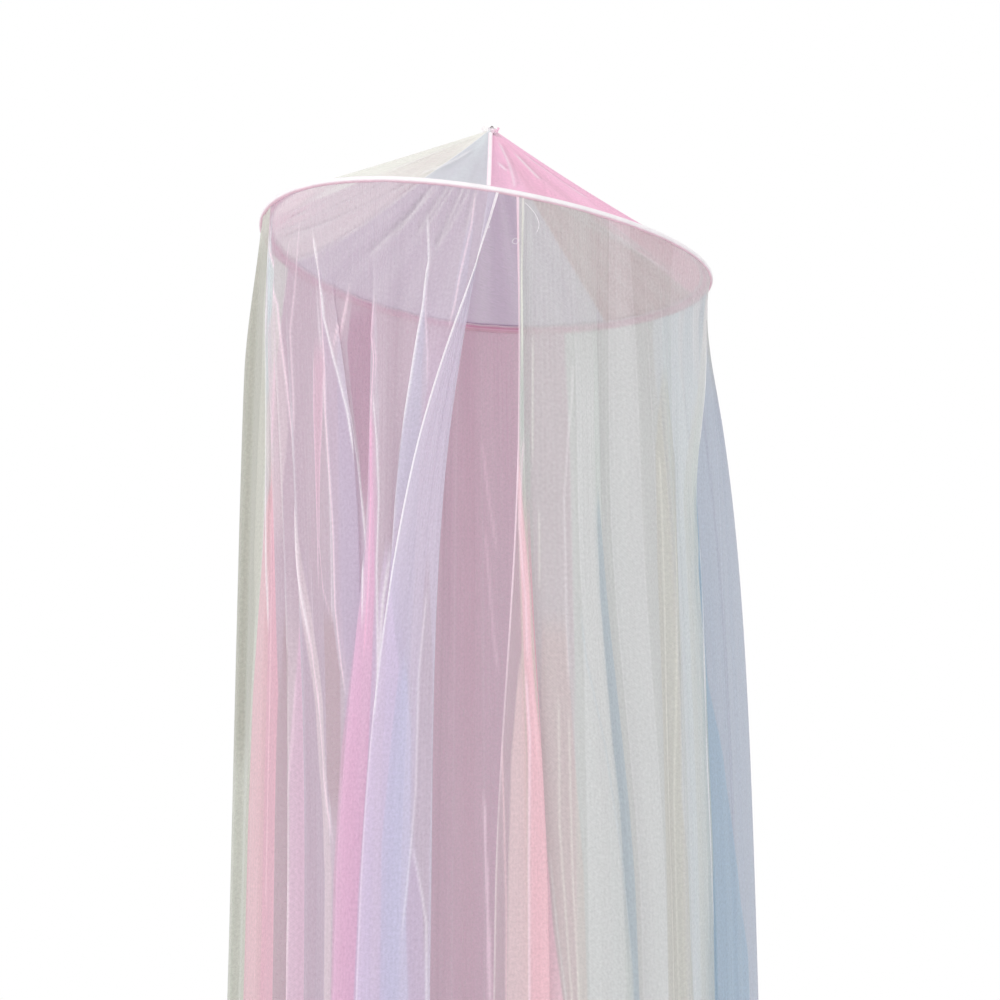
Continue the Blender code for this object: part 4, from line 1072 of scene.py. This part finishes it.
def makeThreads(made, points, levels):
    # the ends of sewing thread that show at the free edges
    material = tapeMaterial("sewingThread")

    def ringAt(spot, radius, name):
        turn = np.linspace(0, 2 * math.pi, 28, endpoint=False)
        squash = 1.0 + 0.18 * np.sin(2 * turn + 0.6)
        path = np.stack([radius * squash * np.cos(turn), 0.4 * mm * np.sin(3 * turn),
                         radius * np.sin(turn)], axis=-1) + spot
        rings = ringsOn(path, threads["thick"] / 2, closed=True)
        piece = tubeObject(name, rings, colours["white"], 0.95, material, closed=True)
        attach(piece, "root")
        return piece

    low = int(np.argmin(np.abs(levels - threads["loopDepth"])))
    loop = ringAt(points[0, low] + np.array(threads["loopShift"]), threads["loopRadius"], "threadLoop")
    high = int(np.argmin(np.abs(levels - threads["knotDepth"])))
    knot = ringAt(points[-1, high] + np.array(threads["knotShift"]), threads["knotRadius"], "threadKnot")
    spots = []
    for angle, depth in threads["loose"]:
        turn = math.radians(angle)
        radius = float(curtainRadius(np.array(angle), depth)) + 5.0 * mm
        spots.append((hoopLine["shiftX"] + radius * math.sin(turn), -radius * math.cos(turn),
                      float(hoopAt(angle)[2]) - curtain["head"] - depth))
    fine = np.linspace(0, len(spots) - 1, 40)
    path = np.stack([easedValue([spot[k] for spot in spots], fine) for k in range(3)], axis=-1)
    loose = tubeObject("looseThread", ringsOn(path, threads["thick"] / 2), colours["white"], 0.95, material)
    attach(loose, "root")
    return {"curtain_blush_front": [loop], "curtain_lavender_front": [knot]}


curtainMade, curtainPoints, curtainDepths = makeCurtain()
threadsOn = makeThreads(curtainMade, curtainPoints, curtainDepths)

roof = {
    "neckRadius": 9.8 * mm,
    "neckDrop": 8.0 * mm,
    "edge": 4.6 * mm,
    "grip": 15.0 * mm,
    "gripShare": 0.03,
    "sag": 2.0 * mm,
    "sagSide": 2.0 * mm,
    "pleatHeight": 3.0 * mm,
    "pleatPitch": 11.0,
    "frillHeight": 6.6 * mm,     # gathered cloth that stands up over the band
    "frillFlare": 1.6 * mm,
    "slant": 0.34,               # a gore's length, from the casing to the neck
    "weaveLength": 0.33,         # and the length that its weave is laid on
    "seamWidth": 1.3 * mm,
    "foldCover": 0.93,           # where the gores are gathered at the neck
}

gores = [
    ("roof_pink", 1.0, 103.0, "pink", 0.82),
    ("roof_rose", 103.0, 144.0, "rose", 0.86),
    ("roof_lilac", 144.0, 242.0, "roofLilac", 0.86),
    ("roof_blush", 242.0, 281.0, "roofBlush", 0.74),
    ("roof_cream", 281.0, 344.0, "cream", 0.66),
    ("roof_sky", 344.0, 361.0, "ice", 0.66),
]

# Creases that fan out over the roof, a painted highlight on each ridge and painted shade in a trough
# beside it: strength, width in mm and (angle, share of the way up) points.
roofCreaseHighlightsAndShade = [
    (1.0, 2.8, [(249, 0.0), (248, 0.03), (244, 0.18), (242, 0.38), (242, 0.60), (242, 0.85)]),
    (0.9, 2.8, [(276, 0.50), (272, 0.17), (271, 0.08)]),
    (0.9, 2.6, [(286, 0.32), (280, 0.15), (277, 0.06)]),
    (1.0, 2.8, [(264, 0.60), (266, 0.13), (267, 0.05)]),
    (0.9, 2.6, [(248, 0.66), (260, 0.13), (262, 0.05)]),
    (0.9, 2.6, [(228, 0.24), (226, 0.68)]),
    (0.9, 2.4, [(230, 0.70), (226, 0.51), (225, 0.38)]),
    (0.8, 2.2, [(218, 0.75), (217, 0.60), (216, 0.44)]),
    (0.8, 2.2, [(213, 0.75), (214, 0.46)]),
    (0.8, 2.2, [(204, 0.76), (204, 0.40)]),
    (0.7, 2.2, [(198, 0.76), (201, 0.56), (204, 0.40)]),
    (0.6, 2.0, [(192, 0.76), (193, 0.50)]),
    (0.9, 2.4, [(116, 0.60), (104, 0.39), (100, 0.28)]),
    (0.8, 2.4, [(126, 0.66), (112, 0.45), (107, 0.34)]),
    (0.8, 2.4, [(110, 0.58), (102, 0.23), (101, 0.12)]),
    (0.9, 2.2, [(99, 0.54), (99, 0.22)]),
    (0.8, 2.2, [(98, 0.50), (98, 0.15)]),
    (0.7, 2.2, [(5, 0.52), (8, 0.38)]),
    (0.7, 2.4, [(21, 0.70), (20, 0.34)]),
    (0.5, 2.2, [(12, 0.82), (8, 0.12)]),
    (0.6, 2.4, [(58, 0.80), (58, 0.50)]),
    (0.5, 2.4, [(34, 0.75), (38, 0.30)]),
    (0.6, 2.4, [(-12, 0.65), (-18, 0.12)]),
    (0.4, 2.4, [(305, 0.80), (303, 0.20)]),
    (0.4, 2.4, [(318, 0.85), (316, 0.25)]),
    (0.4, 2.4, [(328, 0.85), (330, 0.20)]),
    (0.4, 2.4, [(294, 0.70), (291, 0.15)]),
]


def roofAt(angle, share):
    turn = np.radians(angle)
    edge = pocketAt(angle, np.full_like(angle, roof["edge"]), np.zeros_like(angle))
    lip = pocketAt(angle, np.full_like(angle, roof["grip"]), np.zeros_like(angle))
    neck = np.stack([roof["neckRadius"] * np.sin(turn), -roof["neckRadius"] * np.cos(turn),
                     np.full_like(angle, -roof["neckDrop"])], axis=-1)
    low = np.clip(share / roof["gripShare"], 0, 1)[..., None]
    along = np.clip((share - roof["gripShare"]) / (1 - roof["gripShare"]), 0, 1)
    point = edge + (lip - edge) * low + (neck - lip) * along[..., None]
    sag = roof["sag"] + roof["sagSide"] * np.sin(turn)
    point[..., 2] -= sag * 4.0 * along * (1.0 - along)
    crest = np.cos(2 * math.pi * angle / roof["pleatPitch"] + 0.8 * np.sin(3 * turn))
    height = roof["pleatHeight"] * (1.0 + 0.5 * np.sin(5 * turn + 1.0))
    point[..., 2] += height * crest * smoothShare(along / 0.12) * (1 - along) ** 1.5
    fine = np.sin(2 * math.pi * angle / 3.1 + 1.5 * np.sin(7 * turn)) * (0.6 + 0.4 * np.sin(11 * turn))
    point[..., 2] += 0.6 * mm * fine * smoothShare(along / 0.2) * (1 - along)
    # past the neck the cloth stands up in a ruffle, lowest over the chain
    up = np.clip(share - 1.0, 0.0, 1.0)
    gap = smoothShare((np.abs((angle - 18.0 + 180.0) % 360.0 - 180.0) - 22.0) / 30.0)
    ruffle = np.sin(24 * turn + 1.3 * np.sin(5 * turn))
    radius = (roof["frillFlare"] * up + 1.1 * mm * ruffle) * up
    point[..., 0] += radius * np.sin(turn)
    point[..., 1] -= radius * np.cos(turn)
    point[..., 2] += roof["frillHeight"] * up * (0.25 + 0.75 * gap) + 0.9 * mm * up * np.sin(13 * turn + 0.7)
    return point


def makeRoof():
    shares = np.concatenate([[0.0, 0.015, 0.03], 0.03 + 0.97 * np.linspace(0.0, 1.0, 60)[1:],
                             [1.2, 1.4, 1.6, 1.8, 2.0]])
    made = {}
    for name, start, end, dye, coverHere in gores:
        count = int((end - start) / 0.33)
        angle = np.linspace(start, end, count + 1)[:, None] + np.zeros((1, len(shares)))
        share = np.zeros((count + 1, 1)) + shares[None, :]
        flat = np.minimum(share, 1.0)
        points = roofAt(angle, share)
        uvs = np.stack([np.radians(angle) * (hoopLine["radius"] - 0.20 * flat),
                        share * roof["weaveLength"]], axis=-1)
        dyes = np.zeros((*angle.shape, 3)) + np.array(colours[dye])
        cover = coverHere + (roof["foldCover"] - coverHere) * smoothShare((flat - 0.25) / 0.75) ** 1.5
        pleat = 0.5 + 0.5 * np.cos(2 * math.pi * angle / roof["pleatPitch"]
                                   + 0.8 * np.sin(3 * np.radians(angle)))
        cover = cover * (0.95 + 0.10 * pleat)
        radius = hoopLine["radius"] * (1 - flat) + roof["neckRadius"] * flat
        if name == "roof_blush":
            # the dye of the next gore runs over a little by the hoop, the other end is washed pink
            over = smoothShare((249.0 - 18.0 * flat - angle) / 0.6 + 0.5)
            dyes = blended(dyes, colours["roofLilac"], over)
            cover = blended(cover, 0.86, over)
        if name == "roof_pink":
            # deeper pink and denser where it lies low on the right: denser cloth and painted shade of its
            # underside
            underShade = 0.85 * smoothShare((angle - 48.0) / 26.0) * smoothShare((0.62 - flat) / 0.25)
            dyes = blended(dyes, colours["underShadePink"], underShade)
            cover = blended(cover, 0.92, underShade)
        wash = smoothShare((angle - 262.0) / 12.0) * smoothShare((306.0 - angle) / 14.0)
        wash = 0.7 * wash * smoothShare((0.34 - flat) / 0.24)
        dyes = blended(dyes, colours["tapePink"], wash)
        for strength, width, shape in roofCreaseHighlightsAndShade:
            order = sorted(shape, key=lambda p: p[1])
            centre = np.interp(flat, [p[1] for p in order], [p[0] for p in order])
            off = (angle - centre + 180.0) % 360.0 - 180.0
            away = np.radians(off) * radius / (width * mm)
            ends = smoothShare((flat - order[0][1]) / 0.06 + 0.3) * smoothShare(
                (order[-1][1] - flat) / 0.10 + 0.3)
            # painted highlight along the crease's ridge, where the cloth is also denser and raised
            near = np.exp(-away**2) * strength * ends
            light = np.array(colours["white"]) * 0.85 + np.array(colours[dye]) * 0.15
            dyes = blended(dyes, light, near)
            cover = blended(cover, 0.97, near)
            # painted shade: a darker trough on one side of the crease
            side = np.exp(-(away / 1.5 - 1.5)**2) * strength * ends
            dyes = dyes * (1.0 - 0.26 * side[..., None])
            cover = cover + (0.92 - cover) * 0.5 * side
            points[..., 2] += 0.9 * mm * near * (1 - flat)
        for edge in (start, end):
            away = np.radians(np.abs(angle - edge)) * radius / roof["seamWidth"]
            seam = np.exp(-away**2) * 0.6
            light = np.array(colours["white"]) * 0.5 + np.array(colours[dye]) * 0.5
            dyes = blended(dyes, light, seam)
            cover = blended(cover, 0.94, seam)
        # the gathered head is washed out, and sheer in front of the chain
        head = smoothShare((share - 0.93) / 0.12)
        whiteness = 0.35 if name == "roof_pink" else 0.8
        dyes = blended(dyes, colours["white"], whiteness * head)
        window = smoothShare((24.0 - np.abs((angle - 14.0 + 180.0) % 360.0 - 180.0)) / 10.0)
        window = window * smoothShare((share - 0.90) / 0.05)
        cover = blended(cover, 0.34, window)
        piece = gridObject(name.title().replace("_", "") + "Net", points[:, ::-1], uvs[:, ::-1],
                           dyes[:, ::-1], cover[:, ::-1], netMaterial(name + "Net"))
        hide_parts(name)
        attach(piece, "root")
        made[name] = (piece, clothArea(points))
    print("roof:", len(gores), "gores")
    return made


seamTape = {
    "width": 5.6 * mm,
    "angle": 1.0,
    "from": 0.050,
    "to": 0.945,
    "clear": 2.0 * mm,
    "halfTurn": 7.0,
}


def makeSeamTape():
    # one tape up the roof's front seam
    share = np.linspace(seamTape["from"], seamTape["to"], 90)
    across = np.linspace(-1.0, 1.0, 9)
    radius = hoopLine["radius"] * (1 - share) + roof["neckRadius"] * share
    half = np.minimum(np.degrees(seamTape["width"] / 2.0 / radius), seamTape["halfTurn"])
    angle = seamTape["angle"] + half[None, :] * across[:, None]
    flat = np.zeros_like(angle)
    points = roofAt(angle, flat + share[None, :])
    ridge = np.maximum(points[0, :, 2], points[-1, :, 2])
    ridge = np.maximum(ridge, points[4, :, 2])
    ripple = 0.25 * mm * np.sin(share * 95.0 + 2.0 * np.sin(share * 21.0))
    curl = 0.25 * mm * across[:, None] ** 2
    points[..., 2] = ridge[None, :] + seamTape["clear"] + ripple[None, :] - curl
    uvs = np.stack([flat + share[None, :] * roof["weaveLength"],
                    (across[:, None] * 0.5 + 0.5) * seamTape["width"] + flat], axis=-1)
    rim = smoothShare((np.abs(across) - 0.55) / 0.35)[:, None, None]
    dyes = np.array(colours["white"]) + (np.array(colours["whitePink"]) - colours["white"]) * rim
    dyes = dyes + np.zeros((*angle.shape, 3))
    cover = 0.90 + np.zeros_like(angle)
    stitchRows = (1.0 * mm, seamTape["width"] - 1.0 * mm)
    piece = gridObject("roofSeamTape", points[:, ::-1], uvs[:, ::-1], dyes, cover,
                       tapeMaterial("seamTapeWeave", stitchRows))
    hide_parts("roof_seam_tape")
    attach(piece, "root")
    return piece


band = {
    "radius": 7.6 * mm,
    "halfWidth": 1.5 * mm,
    "halfHeight": 3.2 * mm,
    "drop": 7.2 * mm,
    "puckers": 14,
    "puckerShare": 0.72,
}


def makeBand():
    # a soft roll, drawn into puckers by its thread
    stations, sides = band["puckers"] * 10, 20
    turn = np.linspace(0, 2 * math.pi, stations, endpoint=False)[:, None]
    side = np.linspace(0, 2 * math.pi, sides, endpoint=False)[None, :]
    wave = 0.5 + 0.5 * np.cos(band["puckers"] * turn + 0.4 * np.sin(3 * turn))
    swell = band["puckerShare"] + (1.0 - band["puckerShare"]) * wave
    crumple = 0.18 * mm * np.sin(5 * side + 3 * np.sin(band["puckers"] * turn))
    radius = band["radius"] + (band["halfWidth"] * swell + crumple) * np.cos(side)
    height = -band["drop"] + (band["halfHeight"] * (0.9 + 0.1 * wave) + crumple) * np.sin(side)
    rings = np.stack([radius * np.sin(turn), -radius * np.cos(turn), height], axis=-1)
    piece = tubeObject("apexBand", rings[::-1], colours["white"], 0.96,
                       tapeMaterial("bandWeave", (2.0 * mm,)), closed=True)
    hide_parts("apex_band")
    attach(piece, "root")


hangLoop = {
    "halfSpan": 7.6 * mm,
    "tapeWidth": 2.0 * mm,
    "tapeThick": 0.8 * mm,
    "gap": 0.3 * mm,
}


def loopHeight(x):
    foot = -band["drop"] + band["halfHeight"] + hangLoop["gap"]
    top = -0.45 * mm
    return foot + (top - foot) * math.sqrt(max(0.0, 1.0 - (x / hangLoop["halfSpan"]) ** 2))


def makeLoop():
    # a short doubled tape that arches over the band
    stations, sides = 40, 14
    rings = np.zeros((stations, sides, 3))
    for i in range(stations):
        turn = math.pi * i / (stations - 1)
        x = -hangLoop["halfSpan"] * math.cos(turn)
        normal = np.array([-math.cos(turn), 0.0, math.sin(turn)])
        for k in range(sides):
            around = 2 * math.pi * (k + 0.5) / sides
            flatY = math.copysign(abs(math.cos(around)) ** 0.35, math.cos(around))
            flatN = math.copysign(abs(math.sin(around)) ** 0.55, math.sin(around))
            rings[i, k] = (np.array([x, 0.0, loopHeight(x)])
                           + np.array([0.0, flatY * hangLoop["tapeWidth"] / 2.0, 0.0])
                           + normal * flatN * hangLoop["tapeThick"] / 2.0)
    piece = tubeObject("hangLoopTape", rings, colours["white"], 0.97, tapeMaterial("loopWeave"))
    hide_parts("hang_loop")
    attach(piece, "root")
    return piece


links = {
    "wire": 0.7 * mm,
    "halfLength": 4.4 * mm,
    "halfWidth": 2.7 * mm,
    "play": 0.3 * mm,
    "crownPlay": 0.9 * mm,
    "turn": math.radians(45.0),
    "x": 2.2 * mm,
}


def makeLinks():
    # each link is a ring pulled out to an oval; every second one is turned a quarter
    steel = wireMaterial("chainSteel", metalLook["steel"], metalLook["steelDull"], 0.9, 0.42)
    straight = links["halfLength"] - links["halfWidth"]
    top = loopHeight(links["x"]) + 0.45 * mm + links["crownPlay"] + links["wire"]
    for number, name in enumerate(("chain_link_top", "chain_link_middle", "chain_link_low")):
        bpy.ops.object.select_all(action="DESELECT")
        bpy.ops.mesh.primitive_torus_add(major_radius=links["halfWidth"], minor_radius=links["wire"],
                                         major_segments=36, minor_segments=14,
                                         rotation=(math.pi / 2, 0, 0))
        link = bpy.context.active_object
        link.name = "".join(part.title() for part in name.split("_")) + "Wire"
        bpy.ops.object.transform_apply(location=True, rotation=True, scale=True)
        bpy.ops.object.mode_set(mode="EDIT")
        bpy.ops.mesh.select_mode(type="VERT")
        for way in (1.0, -1.0):
            selectPoints(link.data, lambda co: co.z * way > 0.02 * mm)
            bpy.ops.transform.translate(value=(0, 0, way * straight))
        bpy.ops.object.mode_set(mode="OBJECT")
        plane = links["turn"] - (math.pi / 2.0 if number % 2 else 0.0)
        link.rotation_euler = (0, 0, plane)
        link.location = (links["x"], 0, top - links["halfLength"])
        bpy.ops.object.transform_apply(location=True, rotation=True, scale=True)
        bpy.ops.object.shade_smooth()
        link.data.materials.clear()
        link.data.materials.append(steel)
        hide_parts(name)
        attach(link, "root")
        top += 2.0 * links["wire"] + links["play"] - 2.0 * links["halfLength"]


roofMade = makeRoof()
tapePiece = makeSeamTape()
makeBand()
loopPiece = makeLoop()
makeLinks()
print("apex: tape, band, loop and links")

stage = {
    "floorDrop": 2.505,
    "paper": (0.93, 0.93, 0.94),
    "skyStrength": 1.0,
    "cameraAt": (0.0127, -3.0, -1.174),
    "cameraPitch": 12.387,
    "lens": 84.8,
    "sensor": 36.0,
    "floorSize": 14.0,
    "keyAt": (-1.8, -2.6, 0.6),
    "keyAim": (0.0, 0.0, -0.8),
    "keyEnergy": 25.0,
    "keySize": 1.6,
    "seeThrough": 48,            # layers of net that a ray may pass
}


def makeStage():
    bpy.ops.mesh.primitive_plane_add(size=stage["floorSize"], location=(0, 0, -stage["floorDrop"]))
    floor = bpy.context.active_object
    floor.name = "paleFloor"
    material, tree = newMaterial("paleFloor")
    paint = addNode(tree, "ShaderNodeBsdfPrincipled")
    paint.inputs["Base Color"].default_value = (*stage["paper"], 1)
    paint.inputs["Roughness"].default_value = 0.9
    out = addNode(tree, "ShaderNodeOutputMaterial")
    tree.links.new(paint.outputs[0], out.inputs[0])
    floor.data.materials.append(material)

    world = bpy.data.worlds.new("softWhite")
    bpy.context.scene.world = world
    world.use_nodes = True
    sky = world.node_tree.nodes["Background"]
    sky.inputs[0].default_value = (1, 1, 1, 1)
    sky.inputs[1].default_value = stage["skyStrength"]

    key = bpy.data.lights.new("keySoftbox", "AREA")
    key.energy, key.size = stage["keyEnergy"], stage["keySize"]
    keyObject = bpy.data.objects.new("keySoftbox", key)
    bpy.context.collection.objects.link(keyObject)
    keyObject.location = stage["keyAt"]
    aim = Vector(stage["keyAim"]) - keyObject.location
    keyObject.rotation_euler = aim.to_track_quat("-Z", "Y").to_euler()

    eye = bpy.data.cameras.new("photoCamera")
    eye.lens, eye.sensor_width = stage["lens"], stage["sensor"]
    camera = bpy.data.objects.new("photoCamera", eye)
    bpy.context.collection.objects.link(camera)
    camera.location = stage["cameraAt"]
    camera.rotation_euler = (math.radians(90 + stage["cameraPitch"]), 0, 0)
    bpy.context.scene.camera = camera
    bpy.context.scene.view_settings.view_transform = "Standard"
    bpy.context.scene.cycles.transparent_max_bounces = stage["seeThrough"]


makeStage()
print("stage: floor, light and camera")
